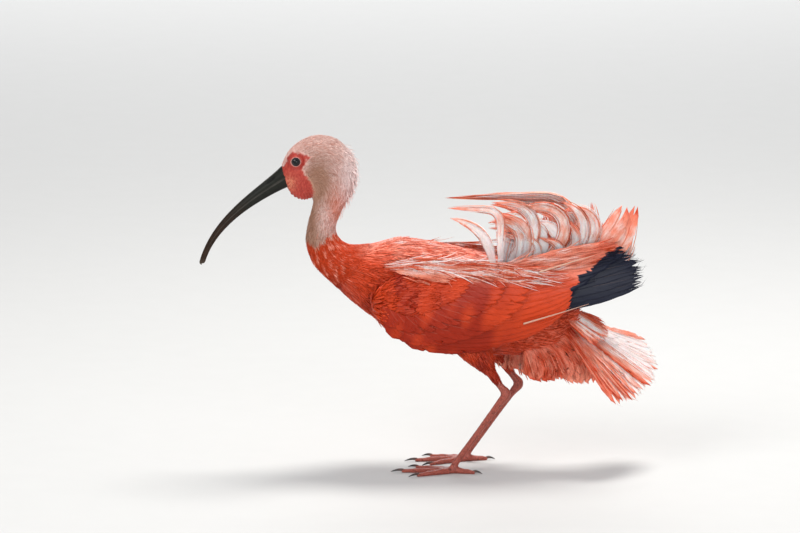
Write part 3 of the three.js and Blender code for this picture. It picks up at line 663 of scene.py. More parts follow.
def makeSkin():
    skin = rawSkin()
    remesh = skin.modifiers.new("remesh", "REMESH")
    remesh.mode, remesh.voxel_size = "VOXEL", skinSettings["voxel"]
    relax = skin.modifiers.new("relax", "SMOOTH")
    relax.factor, relax.iterations = 0.5, skinSettings["relax"]
    mesh = applied(skin).data
    refineFace(mesh)
    mesh.update()
    shaped = shapeFace(meshPoints(mesh), meshValues(mesh, "normal"))
    shaped[:, 2] = np.maximum(shaped[:, 2], 0)  # flat soles
    mesh.vertices.foreach_set("co", toFrame(shaped).astype(np.float32).ravel())
    mesh.update()
    mesh.polygons.foreach_set("use_smooth", np.ones(len(mesh.polygons), bool))
    points, normals = meshPoints(mesh), meshValues(mesh, "normal")
    places, ways, parts, runs = lieField()
    tree = KDTree(len(places))
    for i, p in enumerate(places):
        tree.insert(p, i)
    tree.balance()
    nearest = np.array([tree.find(p)[1] for p in points])
    lie, part = ways[nearest], parts[nearest]
    x, y, z = points.T
    crest = mix(99, np.abs(y) - 6.5, smooth(z, 288, 292))  # the forehead stays feathered along its middle
    face = smooth(np.minimum(insideFace(points), crest) + 0.9 * ripple(points, 0.8, 2), -1.5, 1.3)
    eyeGap = np.where(np.abs(y) > 2, np.hypot(x - eyePlace[0], 1.08 * (z - eyePlace[2])), 99)
    roundEye = lambda at, width: np.exp(-(((eyeGap - at) / width) ** 2))
    found = {"face": face * smooth(-x, 120, 128), "leg": np.where(part == 3, smooth(z, 102, 94), 0)}
    setAttributes(mesh, {
        "lie": unit(lie - normals * np.sum(lie * normals, 1, keepdims=True)),
        **markings(points),
        "orbit": roundEye(*skinSettings["orbit"]), "lidRim": roundEye(*skinSettings["lidRim"]),
        "lores": np.exp(-(((x + 151.5) / 5) ** 2) - ((z - 276) / 7) ** 2),
        **found, "shade": np.full(len(points), 0.5),
    })
    unwrap(skin)
    return skin, {"points": points, "part": part, "run": runs[nearest], **found}


# the coat: small feathers laid over the skin by Geometry Nodes
class Graph:
    # a Geometry Nodes group with named inputs
    def __init__(self, name, inputs):
        self.tree = bpy.data.node_groups.new(name, "GeometryNodeTree")
        self.tree.is_modifier = True
        self.socket("Geometry", "INPUT", "Geometry")
        self.ids = {label: self.socket(label, "INPUT", kind).identifier for label, kind in inputs.items()}
        self.socket("Geometry", "OUTPUT", "Geometry")
        self.start = self.tree.nodes.new("NodeGroupInput").outputs
        self.end = self.tree.nodes.new("NodeGroupOutput").inputs[0]

    def socket(self, label, way, kind):
        return self.tree.interface.new_socket(label, in_out=way, socket_type="NodeSocket" + kind)

    def node(self, kind, settings=None, sockets=None):
        return newNode(self.tree, kind, settings, sockets).outputs[0]

    def live(self, kind, dataType, sockets=None):
        # a node whose sockets depend on its data type, and its output in use
        made = newNode(self.tree, kind, {"data_type": dataType}, sockets)
        return made, next(o for o in made.outputs if o.enabled)

    def named(self, label, dataType="FLOAT"):
        return self.live("GeometryNodeInputNamedAttribute", dataType, {"Name": label})[1]

    def math(self, operation, *values):
        return self.node("ShaderNodeMath", {"operation": operation}, dict(enumerate(values)))

    def times(self, a, b):
        return self.math("MULTIPLY", a, b)

    def random(self, low, high, seed, dataType="FLOAT"):
        made, output = self.live("FunctionNodeRandomValue", dataType)
        inputs = [i for i in made.inputs if i.enabled]
        for socket, value in zip((*inputs[:2], inputs[-1]), (low, high, seed)):
            socket.default_value = value
        return output


def tuftShape(name, sway, droop, ringCount):
    # a pointed feather one long and one wide, ridged along its middle, from the origin along +X
    spots = {2: [(0.3, 0.44), (0.72, 0.38)], 3: [(0.22, 0.4), (0.55, 0.5), (0.84, 0.3)]}[ringCount]
    points = [(0, 0, 0)]
    for t, half in spots:
        y, z = sway * t * t, -droop * t * t
        points += [(t, y + half, z), (t, y - half, z), (t, y, z + 0.16)]
    points.append((1, sway, -droop))
    last = len(points) - 1
    faces = [(0, 2, 1), (0, 3, 2), (0, 1, 3)]
    for m in range(1, last - 3, 3):
        faces += [(m, m + 1, m + 4, m + 3), (m + 1, m + 2, m + 5, m + 4), (m + 2, m, m + 3, m + 5)]
    faces += [(last - 3, last - 2, last), (last - 2, last - 1, last), (last - 1, last - 3, last)]
    mesh = bpy.data.meshes.new(name)
    mesh.from_pydata(points, [], faces)
    mesh.update()
    layer = mesh.uv_layers.new(name="tuftMap")
    for loop in mesh.loops:
        x, y, z = points[loop.vertex_index]
        layer.data[loop.index].uv = (x, y + 0.5)
    setAttributes(mesh, {"run": [p[0] for p in points]})
    return bpy.data.objects.new(name, mesh)


def tuftSet(name, ringCount):
    group = bpy.data.collections.new(name)
    for i, (sway, droop) in enumerate([(0, 0.02), (0.1, 0.05), (-0.12, 0.03), (0.2, 0.08), (-0.18, 0.06)]):
        group.objects.link(tuftShape(f"{name}_{i}", sway, droop, ringCount))
    return group


def coatGraph():
    # one group for all coats: tufts at random points of the skin, made real, with their bake map
    g = Graph("featherCoat", {"Tufts": "Collection", "Finish": "Material", "Seed": "Int",
                              **dict.fromkeys(coatKeys[:-1], "Float")})
    start = g.start
    spread = newNode(g.tree, "GeometryNodeDistributePointsOnFaces", {"distribute_method": "POISSON"}, {
        "Mesh": start["Geometry"], "Distance Min": start["Spacing"], "Density Max": 3e6,
        "Density Factor": g.named("thick"), "Seed": start["Seed"]}).outputs
    # tufts stand on the skin, point along its lie and wander a little from it
    turned = g.node("FunctionNodeAlignRotationToVector", {"axis": "Z"}, {"Vector": spread["Normal"]})
    turned = g.node("FunctionNodeAlignRotationToVector", {"axis": "X", "pivot_axis": "Z"},
                    {"Rotation": turned, "Vector": g.named("lie", "FLOAT_VECTOR")})
    slow = g.node("ShaderNodeTexNoise", {}, {
        "Vector": g.node("GeometryNodeInputPosition"), "Scale": 90.0, "Detail": 2.0})
    flow = g.times(g.math("SUBTRACT", slow, 0.5), start["Flow"])
    wander = g.math("MULTIPLY_ADD", g.random(-1.0, 1.0, 3), start["Wander"], flow)
    lift = g.times(g.times(g.random(0.4, 1.6, 4), start["Lift"]), -1.0)
    bend = g.node("ShaderNodeCombineXYZ", {}, {0: g.random(-0.25, 0.25, 5), 1: lift, 2: wander})
    by = g.node("FunctionNodeEulerToRotation", {}, {0: bend})
    turned = g.node("FunctionNodeRotateRotation", {"rotation_space": "LOCAL"}, {0: turned, 1: by})
    long, wide = [g.times(g.times(g.random(1 - vary, 1 + vary, seed), start[label]), g.named("size"))
                  for vary, seed, label in ((0.28, 6, "Length"), (0.25, 7, "Width"))]
    scale = g.node("ShaderNodeCombineXYZ", {}, {0: long, 1: wide, 2: wide})
    tufts = g.node("GeometryNodeCollectionInfo", {}, {
        "Collection": start["Tufts"], "Separate Children": True, "Reset Children": True})
    laid = g.node("GeometryNodeInstanceOnPoints", {}, {
        "Points": spread["Points"], "Instance": tufts, "Pick Instance": True,
        "Instance Index": g.random(0, 4, 8, "INT"), "Rotation": turned, "Scale": scale})
    laid = g.node("GeometryNodeStoreNamedAttribute", {"data_type": "FLOAT", "domain": "INSTANCE"},
                  {"Geometry": laid, "Name": "shade", "Value": g.random(0.0, 1.0, 9)})
    real = g.node("GeometryNodeRealizeInstances", {}, {0: laid})
    # each tuft's own patch of the bake map, 0.003 across, lies round its root's place
    tuftMap, rootMap = [g.named(label, "FLOAT_VECTOR") for label in ("tuftMap", "rootMap")]
    patch = g.node("ShaderNodeVectorMath", {"operation": "MULTIPLY_ADD"},
                   {0: tuftMap, 1: (0.003, 0.003, 0.0), 2: rootMap})
    patch = g.node("ShaderNodeVectorMath", {"operation": "ADD"}, {0: patch, 1: (-0.0015, -0.0015, 0.0)})
    mapped = newNode(g.tree, "GeometryNodeStoreNamedAttribute", {"data_type": "FLOAT2", "domain": "CORNER"},
                     {"Geometry": real, "Name": "OFBake"})
    feed(g.tree, next(i for i in mapped.inputs if i.enabled and i.name == "Value"), patch)
    soft = g.node("GeometryNodeSetShadeSmooth", {}, {0: mapped.outputs[0]})
    feed(g.tree, g.end, g.node("GeometryNodeSetMaterial", {}, {0: soft, "Material": start["Finish"]}))
    return g


def layCoat(graph, skin, name, thick, size, tufts, finish):
    # thick: chance of a tuft at each point of the skin, from 0 to 1; size scales its length and width
    piece = link(bpy.data.objects.new(name, skin.data.copy()))
    setAttributes(piece.data, {"thick": thick, "size": size})
    piece.data.uv_layers[0].name = "rootMap"
    trimmed = bmesh.new()
    trimmed.from_mesh(piece.data)
    trimmed.verts.ensure_lookup_table()
    bare = [trimmed.verts[i] for i in np.where(thick < 0.01)[0]]
    bmesh.ops.delete(trimmed, geom=bare, context="VERTS")
    trimmed.to_mesh(piece.data)
    trimmed.free()
    modifier = piece.modifiers.new("coat", "NODES")
    modifier.node_group = graph.tree
    for label, value in {"Tufts": tufts, "Finish": finish, **dict(zip(coatKeys, coats[name]))}.items():
        modifier[graph.ids[label]] = value
    applied(piece)
    keep = {"OFBake", "pale", "deep", "tan", "shade", "run", "sharp_face"}
    for label in [a.name for a in piece.data.attributes if a.name not in keep]:
        layer = piece.data.attributes.get(label)
        if layer and not layer.is_required and not layer.is_internal:
            piece.data.attributes.remove(layer)
    piece.data.materials.clear()
    piece.data.materials.append(finish)
    return finished(piece)


def featherFinish(name, roughness, gloss, relief, streaks, wash, lockSize):
    # small feathers: darker at the root and lighter at the tip, the tip's lightness a painted glow of light
    # through it; fine barbs, and wet locks that run with the lie of the body
    f = Finish(name, Coat_Weight=gloss, Coat_Roughness=0.25, Specular_IOR_Level=0.14)
    run = f.attributes("run")[0]
    locks = f.noise(f.place(lockSize, (0, 0.42, 0), "TEXTURE"), 1.0, 3.0, 0.6, 0.8) - 0.5
    f.set(Base_Color=coatColour(f, (run - 0.5) * 0.2 + locks * streaks, locks * wash))
    barbs = f.noise(f.place((900, 900, 900)), 1.0, 2.0)
    f.set(Roughness=(barbs * 0.25 + (roughness - 0.12) + locks * 0.3).clip(0.12, 1.0))
    f.bump(barbs, 0.0002, relief)
    return f.material


def skinFinish():
    f = Finish("skinFinish", Coat_Weight=0.1, Coat_Roughness=0.3, Specular_IOR_Level=0.25)
    face, leg, lores, orbit, lidRim = f.attributes("face", "leg", "lores", "orbit", "lidRim")
    where = f.place()
    mottle = f.noise(where, 420.0, 4.0)
    pores = f.node("ShaderNodeTexVoronoi", {"feature": "F1"}, {"Vector": where, "Scale": 1500.0})
    scutes = f.node("ShaderNodeTexVoronoi", {"feature": "DISTANCE_TO_EDGE"},
                    {"Vector": f.place((1, 1, 0.62)), "Scale": 620.0})
    edges = scutes.ease(0.0, 0.09)
    folds = f.noise(f.place((0.0011, 0.0011, 0.008), (0, 0.35, 0), "TEXTURE"), 1.0, 2.0)
    bare = f.blend((mottle * 1.5 - 0.3).clip(), (0.31, 0.024, 0.018), (0.56, 0.085, 0.055))
    bare = f.blend(lores * 0.75 * (mottle * 1.6).clip(), bare, (0.78, 0.3, 0.17))
    bare = f.blend(orbit * 0.45, bare, (0.3, 0.022, 0.016))
    bare = f.blend(folds.ease(0.48, 0.62) * 0.6, bare, (0.33, 0.018, 0.012))
    bare = f.blend(lidRim * 0.7, bare, (0.7, 0.42, 0.37))
    shin = f.blend(edges, (0.13, 0.028, 0.022), f.blend(mottle, tones["leg"], (0.52, 0.13, 0.09)))
    f.set(Base_Color=f.blend(leg, f.blend(face, coatColour(f), bare), shin))
    f.set(Roughness=(0.5 - 0.12 * leg + 0.2 * (mottle - 0.5)).clip(0.1, 1.0))
    f.bump(face * (pores * 0.5 + mottle) + leg * (edges * 1.6 + mottle * 0.4), 0.00035, 0.8)
    return f.material


# spacing, length and width in metres; lift in radians
coatKeys = ("Spacing", "Length", "Width", "Lift", "Wander", "Flow", "Seed")
coats = {
    "coat_crown": (0.00072, 0.0046, 0.00068, 0.13, 0.16, 0.5, 3),
    "coat_nape": (0.0021, 0.0078, 0.0012, 0.5, 0.3, 0.5, 11),
    "coat_neck": (0.00078, 0.0056, 0.0007, 0.12, 0.16, 0.5, 4),
    "coat_breast": (0.00128, 0.0135, 0.0014, 0.065, 0.1, 0.7, 5),
    "coat_back": (0.00122, 0.017, 0.0014, 0.065, 0.12, 0.7, 6),
    "coat_belly": (0.0013, 0.015, 0.0016, 0.07, 0.1, 0.6, 7),
    "coat_wing_left": (0.0013, 0.012, 0.0032, 0.015, 0.04, 0.4, 8),
    "coat_wing_right": (0.0013, 0.012, 0.0032, 0.015, 0.04, 0.4, 9),
    "coat_thighs": (0.001, 0.01, 0.0013, 0.07, 0.12, 0.5, 10),
}
coatLooks = {  # roughness, gloss, relief, streaks, wash towards white, size of the wet locks
    "down": (0.62, 0.02, 0.35, 0.12, 0.3, (0.008, 0.003, 0.003)),
    "scarlet": (0.38, 0.14, 0.5, 0.42, 1.2, (0.02, 0.0026, 0.0026)),
    "arm": (0.36, 0.06, 0.25, 0.16, 0.3, (0.02, 0.0026, 0.0026)),
}


def coatMasks(points, part, run, face, leg):
    # where each coat piece grows: a chance from 0 to 1 at each point of the skin
    x, y, z = points.T
    body = part == 0
    trunk = body & ~((run > 13.2) & (run < 16.2) & (np.abs(y) > 33) & (z < 190))  # not under the wing pads
    flank = mix(205, 150, smooth(x, -100, -20))
    low = smooth(z, flank + 6, flank - 6)
    fringe = smooth(x, -108, -95) * smooth(z, 238, 252) * smooth(np.abs(y), 12.5, 8)  # behind the head
    masks = {
        "coat_crown": (body & (run < 7.4), 1 - np.clip(face * 1.3, 0, 1)),
        "coat_nape": (body & (run < 11), fringe),
        "coat_neck": (body & (run >= 7.4) & (run < 11.9), 1),
        "coat_breast": (trunk & (run >= 11.9) & (run < 14.6), 1),
        "coat_back": (trunk & (run >= 14.6), 1 - low),
        "coat_belly": (trunk & (run >= 14.6), low),
        "coat_wing_left": ((part == 1) & (y < 0), 1),
        "coat_wing_right": ((part == 1) & (y > 0), 1),
        "coat_thighs": (part == 2, 1 - leg),
    }
    return {name: np.where(where, thick, 0) for name, (where, thick) in masks.items()}


print("skin")
skin, spots = makeSkin()
skin.data.materials.clear()
skin.data.materials.append(skinFinish())
fleshNodes = ["head", "neck", "torso"]
fleshNodes += [f"{n}_{side}" for n in ("wing", "thigh", "shank", "foot") for side in sides]
finished(skin, fleshNodes)
print("coat")
graph = coatGraph()
tufts = {"down": tuftSet("downTufts", 2), "scarlet": tuftSet("bodyTufts", 3)}
looks = {name: featherFinish(name + "Finish", *look) for name, look in coatLooks.items()}
headSize = mix(0.55, 1.0, smooth(spots["points"][:, 0], -152, -128))  # smallest by the bill
for name, thick in coatMasks(**spots).items():
    slot = "down" if name in ("coat_crown", "coat_neck", "coat_nape") else "scarlet"
    size = headSize if slot == "down" else np.ones(len(headSize))
    layCoat(graph, skin, name, thick, size, tufts[slot], looks["arm" if "wing" in name else slot])


# large feathers: vanes with a raised quill and swept barbs, and loose wet strands
chance = np.random.default_rng(12)
shares = np.array([-1, -0.86, -0.62, -0.34, -0.06, 0, 0.06, 0.34, 0.62, 0.86, 1.0])  # columns across a vane
forms = {  # share of the full width along the feather
    "flight": [(0, 0.3), (0.12, 0.8), (0.5, 1), (0.8, 0.94), (0.92, 0.72), (1, 0.2)],
    "pointed": [(0, 0.3), (0.15, 0.85), (0.5, 1), (0.75, 0.8), (0.92, 0.42), (1, 0.06)],
    "covert": [(0, 0.4), (0.4, 0.9), (0.75, 1), (0.92, 0.72), (1, 0.24)],
    "plume": [(0, 0.45), (0.15, 0.7), (0.4, 1), (0.6, 0.95), (0.8, 0.62), (1, 0.05)],
    "fan": [(0, 0.2), (0.4, 0.8), (0.82, 1), (0.94, 0.75), (1, 0.3)],
}


def shareOf(form, v):
    at, value = np.array(forms[form]).T
    return np.interp(v, at, value)


def arc(root, tip, bow):
    # a path from root to tip, bowed sideways by a share of its length
    root, tip = np.asarray(root, float), np.asarray(tip, float)
    middle = (root + tip) / 2 + np.array([root[1] - tip[1], tip[0] - root[0]]) * 2 * bow

    def path(t):
        t = np.asarray(t, float).reshape(-1, 1)
        return root * (1 - t) ** 2 + middle * 2 * t * (1 - t) + tip * t**2
    return path


def curl(start, heading, turn, bend, length):
    # a path that leaves start by its heading and turns between the two shares of its length in bend
    count = 60
    t = (np.arange(count) + 0.5) / count
    way = np.radians(heading + turn * smooth(t, *bend))
    steps = np.stack([np.cos(way), np.sin(way)], -1) * length / count
    points = np.concatenate([[start], start + np.cumsum(steps, 0)])
    stops = np.linspace(0, 1, count + 1)
    return lambda v: np.stack([np.interp(v, stops, points[:, k]) for k in (0, 1)], -1)


def along(path, v):
    # place and left-hand direction on a path
    at = path(v)
    ahead = unit(path(np.minimum(v + 0.01, 1)) - path(np.maximum(v - 0.01, 0)))
    return at, np.stack([-ahead[:, 1], ahead[:, 0]], -1)


def cellMap(cell, u, v):
    # a feather's own cell (number, count) of the bake map
    index, count = cell
    n = math.ceil(math.sqrt(count))
    return np.stack([(index % n + 0.04 + 0.92 * (u + 1) / 2) / n, (index // n + 0.04 + 0.92 * v) / n], -1)


def vane(bunch, path, width, form, place, cell, h=0.0, tilt=0.0, lift=0.0, *, rowCount, ragged, splits,
         marks, thick=0.3, quill=0.9, camber=0.0):
    # h, tilt and lift set its height over the sheet that place lays it in; ragged and splits tear its edges
    r = np.linspace(0, 1, rowCount + 1)
    length = np.sum(np.linalg.norm(np.diff(path(np.linspace(0, 1, 40)), axis=0), axis=1))
    ahead = min(0.45, 1.3 * width / 2 / length)  # how far the barbs are swept
    inner, outer = r[:, None] * (1 - ahead), ahead + r[:, None] * (1 - ahead)
    q = np.abs(shares)
    v = inner + (outer - inner) * q**1.15
    torn = 1 - ragged * chance.random((rowCount + 1, 2))
    torn -= np.where(chance.random((rowCount + 1, 2)) < splits, 0.3 * chance.random((rowCount + 1, 2)), 0)
    torn = np.where(shares < 0, torn[:, :1], torn[:, 1:])
    reach = shares * (width / 2 * shareOf(form, outer)) * np.where(q > 0.7, torn, 1)
    at, left = along(path, v.ravel())
    at = at + left * reach.reshape(-1, 1)
    relief = (chance.random(rowCount + 1) - 0.5)[:, None] * 0.22 * q
    height = (h + lift * v**2 - tilt * reach + camber * (1 - q**2) + relief).ravel()
    half = np.where(q == 0, quill * (1 - 0.75 * v), thick).ravel() / 2
    points = np.concatenate([place(*at.T, height + half), place(*at.T, height - np.minimum(half, 0.3))])
    grid = np.arange(v.size).reshape(v.shape)
    a, b, c, d = grid[:-1, :-1].ravel(), grid[1:, :-1].ravel(), grid[1:, 1:].ravel(), grid[:-1, 1:].ravel()
    loop = np.concatenate([grid[0, :-1], grid[:-1, -1], grid[-1, :0:-1], grid[:0:-1, 0]])
    after = np.roll(loop, -1)
    quads = np.concatenate([np.stack([a, b, c, d], -1), np.stack([d, c, b, a], -1) + v.size,
                            np.stack([loop, after, after + v.size, loop + v.size], -1)])
    shade = np.clip(0.5 + 0.3 * (chance.random() - 0.5) + 0.25 * (chance.random(rowCount + 1) - 0.5), 0, 1)
    whole = lambda x: np.tile(np.broadcast_to(x, v.shape).ravel(), 2)  # for the top and the underside
    run, across = whole(v), whole(shares)
    bunch.add(points, *outward(points, quads), (), cellMap(cell, across, run), run=run, across=across,
              barb=whole(r[:, None] * rowCount), shade=whole(shade[:, None]), quill=whole(q == 0),
              **paint(points, run, across, marks))


def paint(points, v, u, marks):
    # marks hold a number or a function of place along, place across and points for each value
    found = {}
    for label in ("pale", "deep", "tan", "ink"):
        value = marks.get(label, 0.0)
        found[label] = np.broadcast_to(value(v, u, points) if callable(value) else value, len(points))
    return found


def strands(bunch, count, path, width, form, place, cell, h=0.0, tilt=0.0, lift=0.0, *, start, girth, marks,
            end=(0.75, 1.0), span=None, spread=1.0, flare=0.15, segments=12, stray=0.6, mottled=0.0):
    # wet barbs that run along the feather, each a closed three-sided ribbon that ends in a point
    t = np.linspace(0, 1, segments + 1)
    u0 = chance.uniform(-spread, spread, count)
    u1 = u0 + chance.normal(0, flare, count)
    v0, v1 = chance.uniform(*start, count), chance.uniform(*end, count)
    if span:
        v1 = np.minimum(v0 + chance.uniform(*span, count), 1.04)
    v = v0[:, None] + (v1 - v0)[:, None] * t
    u = u0[:, None] + (u1 - u0)[:, None] * t**2
    share = shareOf(form, v0[:, None] + (np.minimum(v1, 0.9) - v0)[:, None] * t)
    at, left = along(path, v.ravel())
    reach = (u * width / 2 * share).ravel()
    at = at + left * reach[:, None]
    lifted = chance.normal(0, stray, count)[:, None] * t**2 + chance.uniform(-0.2, 0.3, count)[:, None]
    height = (h + lift * v**2 + lifted).ravel() - tilt * reach
    body = np.sin(np.pi * np.clip(t * 0.94 + 0.04, 0, 1)) ** 0.6 * np.where(t == 1, 0.02, 1)
    half = (girth * chance.uniform(0.6, 1.5, count)[:, None] * body).ravel()
    ring = [place(*(at + left * (side * half)[:, None]).T, height + up * half)
            for side, up in ((-1, 0), (1, 0), (0, 0.8))]
    points = np.stack(ring, 1).reshape(-1, 3)
    step = (segments + 1) * 3
    each = (np.arange(count) * step)[:, None, None]
    quads = (ringFaces(segments + 1, 3) + each).reshape(-1, 4)
    caps = (np.array([[0, 2, 1], [step - 3, step - 2, step - 1]]) + each).reshape(-1, 3)
    shade = np.repeat(chance.random(count), step)
    run, across = np.repeat(v.ravel(), 3), np.repeat(np.clip(u, -1, 1).ravel(), 3)
    colours = paint(points, run, across, marks)
    mottles = mottled * np.repeat(chance.normal(0, 1, count), step)
    colours["pale"] = np.clip(colours["pale"] + mottles, 0.02, 1)
    bunch.add(points, *outward(points, quads, caps), cellMap(cell, across, np.clip(run, 0, 1)), run=run,
              across=across, barb=run * 20, shade=shade, quill=0, **colours)


def rod(bunch, path, place, cell, h, thick):
    # a bare shaft that lies on the feathers, thick at the root
    size, rings = 8, 31
    t = np.linspace(0, 1, rings)
    at, left = along(path, t)
    turn = np.linspace(0, 2 * np.pi, size, endpoint=False)
    half = (mix(*thick, t) / 2)[:, None]
    spots = at[:, None] + left[:, None] * (np.cos(turn) * half)[..., None]
    points = place(spots[..., 0].ravel(), spots[..., 1].ravel(), (h + np.sin(turn) * half).ravel())
    run, across = np.repeat(t, size), np.tile(np.cos(turn), rings)
    bunch.add(points, *tube(points, size), cellMap(cell, across, run), run=run, across=across, barb=run,
              shade=0.6, quill=1.6, **paint(points, run, across, {}))


vaneLooks = {  # roughness, gloss, relief of the barbs, streaks, light let through
    "wing": (0.34, 0.06, 0.25, 0.3, 0.0),
    "ink": (0.36, 0.16, 0.5, 0.5, 0.0),
    "pale": (0.4, 0.15, 0.4, 0.4, 0.3),
    "plume": (0.38, 0.2, 0.4, 0.4, 0.45),
    "tail": (0.36, 0.15, 0.5, 0.35, 0.35),
}


def vaneFinish(name):
    # wet vanes: swept barb lines, long streaks where barbs cling together, a pale shaft
    roughness, gloss, relief, streaks, glow = vaneLooks[name]
    f = Finish(name + "Finish", Coat_Weight=gloss, Coat_Roughness=0.2, Specular_IOR_Level=0.14)
    f.set(Subsurface_Weight=glow, Subsurface_Scale=0.002, Subsurface_Radius=(1.0, 0.4, 0.3))
    run, across, barb, ink, quill, shade = f.attributes("run", "across", "barb", "ink", "quill", "shade")
    where = {0: across * 5.0 + shade * 3.0, 1: run * 2.6, 2: shade * 9.0}
    clumps = f.noise(f.node("ShaderNodeCombineXYZ", {}, where), 1.6, 3.0, 0.6, 0.4) - 0.5
    lines = (barb * 18.85 + across.abs() * 1.5).sin() * 0.5 + 0.5  # three lines to each step of barb
    colour = coatColour(f, (lines - 0.5) * 0.07 + clumps * 0.5, clumps * streaks)
    colour = f.blend(ink.ease(0.35, 0.65), colour, tones["ink"])
    shaft = (quill.ease(0.25, 0.9) * 0.14 + quill.ease(1.1, 1.5) * 0.75).clip()
    f.set(Base_Color=f.blend(shaft, colour, tones["shaft"]))
    f.set(Roughness=(roughness + (lines - 0.5) * 0.1 + clumps * 0.25).clip(0.12, 1.0))
    f.bump(lines * 0.5 + clumps * 2.0 + quill, 0.00016, relief)
    return f.material


curves = {  # where roots and tips of each tier lie in the wing's sheet
    "secondaryRoots": curve([-50, 137], [-20, 140], [12, 152], [34, 170], [42, 190]),
    "secondaryTips": curve([66, 141], [98, 154], [114, 169], [121, 186], [140, 200], [165, 214]),
    "greaterRoots": curve([-62, 153], [-46, 144], [-20, 147], [8, 158], [26, 173], [32, 191]),
    "greaterTips": curve([-45, 136], [-14, 131], [22, 138], [52, 153], [70, 169], [78, 190]),
    "medianRoots": curve([-64, 166], [-44, 157], [-20, 161], [0, 170], [14, 182], [18, 194]),
    "medianTips": curve([-50, 146], [-26, 142], [6, 150], [34, 164], [50, 178], [56, 193]),
    "primaryRoots": curve([33, 160], [44, 176], [48, 190]),
    "primaryTips": curve([179, 179], [183, 188], [179, 199], [171, 209], [158, 214]),
}
wingTiers = {
    "greater": {"form": "covert", "count": 16, "width": 16, "h": 4.2, "lift": 0.3, "tilt": 0.06,
                "bow": (-0.06, 0), "rowCount": 22, "wisps": 8},
    "median": {"form": "covert", "count": 15, "width": 14, "h": 4.8, "lift": 0.6, "tilt": 0.06,
               "bow": (-0.06, 0), "rowCount": 18, "wisps": 8},
    "secondary": {"form": "flight", "count": 13, "width": 25, "h": 0.8, "lift": 0.0, "tilt": 0.1,
                  "bow": (-0.09, 0.02), "rowCount": 40, "wisps": 14},
    "primary": {"form": "pointed", "count": 8, "width": 16.5, "h": -4.2, "lift": 0.0, "tilt": 0.14,
                "bow": (-0.03, 0.02), "rowCount": 40, "wisps": 10},
}


def point(path, t):
    return path(np.array([float(t)]))[0]


def layTier(bunch, tier, place, marks, first=0, total=None):
    # first and total: the cells of its feathers on the bake map
    t = wingTiers[tier]
    for i in range(t["count"]):
        u = i / (t["count"] - 1)
        tip = point(curves[tier + "Tips"], u) + chance.uniform(-0.7, 0.7, 2)
        path = arc(point(curves[tier + "Roots"], u), tip, mix(*t["bow"], u))
        where = (path, t["width"] * chance.uniform(0.95, 1.05), t["form"], place,
                 (first + i, total or t["count"]), t["h"], t["tilt"], t["lift"])
        vane(bunch, *where, rowCount=t["rowCount"], camber=0.1, thick=0.22, quill=0.4, ragged=0.04,
             splits=0.02, marks=marks)
        strands(bunch, t["wisps"], *where, start=(0.3, 0.85), span=(0.12, 0.35), spread=0.95, girth=0.28,
                segments=6, stray=0.2, marks=marks)


print("wings")
wingFinish, inkFinish, paleFinish = [vaneFinish(name) for name in ("wing", "ink", "pale")]


def shadePatch(v, u, p):
    # painted shade: soft darker patches over the arm, brighter towards the rear, and darker low down
    patch = np.clip(0.62 + 0.5 * ripple(p * [1, 1, 0.4], 5.5, 3), 0, 1)
    return np.clip(patch * 1.4 * smooth(p[:, 0], 75, 15) + 0.3 * smooth(p[:, 2], 158, 135), 0, 1)


def paleAndLitTop(v, u, p):
    # the upper feathers are paler pink, partly in pale streaks and partly a painted highlight from above,
    # and orange again towards their ends
    return (0.34 * smooth(p[:, 2], 180, 200) * smooth(p[:, 0], 190, 130) + 0.06 * smooth(p[:, 0], 60, 120)
            + 0.1 * ripple(p * [0.3, 1, 1], 2.0, 5) * smooth(p[:, 2], 170, 195))


blackTop = np.array([(118, 190), (132, 197.5), (139, 204), (146, 210), (158, 217), (168, 220)])  # side view


def tipInk(v, u, p):
    # the end of the wing is black below that line, on the feathers that lie over the primaries too
    top = np.interp(p[:, 0], *blackTop.T) + 1.5 * ripple(p, 1.1, 8)
    left = 113 + 7 * smooth(p[:, 2], 181, 186) + 1.5 * ripple(p, 1.3, 4)
    return smooth(p[:, 0], left, left + 2.5) * smooth(p[:, 2], top + 1, top - 1.5)


wingMarks = {"pale": paleAndLitTop, "deep": shadePatch}
blackMarks = {"ink": lambda v, u, p: smooth(v, 0.2, 0.3), "deep": 0.3}
shoulderMarks = {"pale": lambda v, u, p: np.clip(
    0.5 - 0.2 * smooth(p[:, 0], 30, 110) - 0.3 * smooth(p[:, 0], -40, -62)
    + 0.2 * ripple(p * [0.1, 1, 1], 1.9, 6), 0.04, 1)}
rosyMarks = {"ink": tipInk, "pale": lambda v, u, p: np.clip(
    0.5 - 0.42 * smooth(p[:, 0], 110, 165) + 0.2 * ripple(p * [0.2, 1, 1], 1.3, 2), 0, 1)}
paleShafts = [  # thin pale shafts on the wing: line, height over the sheet
    (curve((69, 147), (90, 153), (110, 158.7), (131, 165)), 3.4),
    (curve((84, 197), (101, 201.7), (118, 206.3), (136, 211)), 6.4),
]
scapulars = {
    "roots": [(-52, 198), (-34, 201), (-14, 202), (8, 202), (30, 200)],
    "reach": (52, -7), "width": 9, "wisps": 26,
    "edge": curve((-62, 202), (-30, 205), (5, 203), (40, 199), (75, 194), (112, 190)), "edgeWisps": 260,
    "upper": curve((34, 196), (70, 201), (110, 207), (158, 215)), "upperWisps": 170,
}


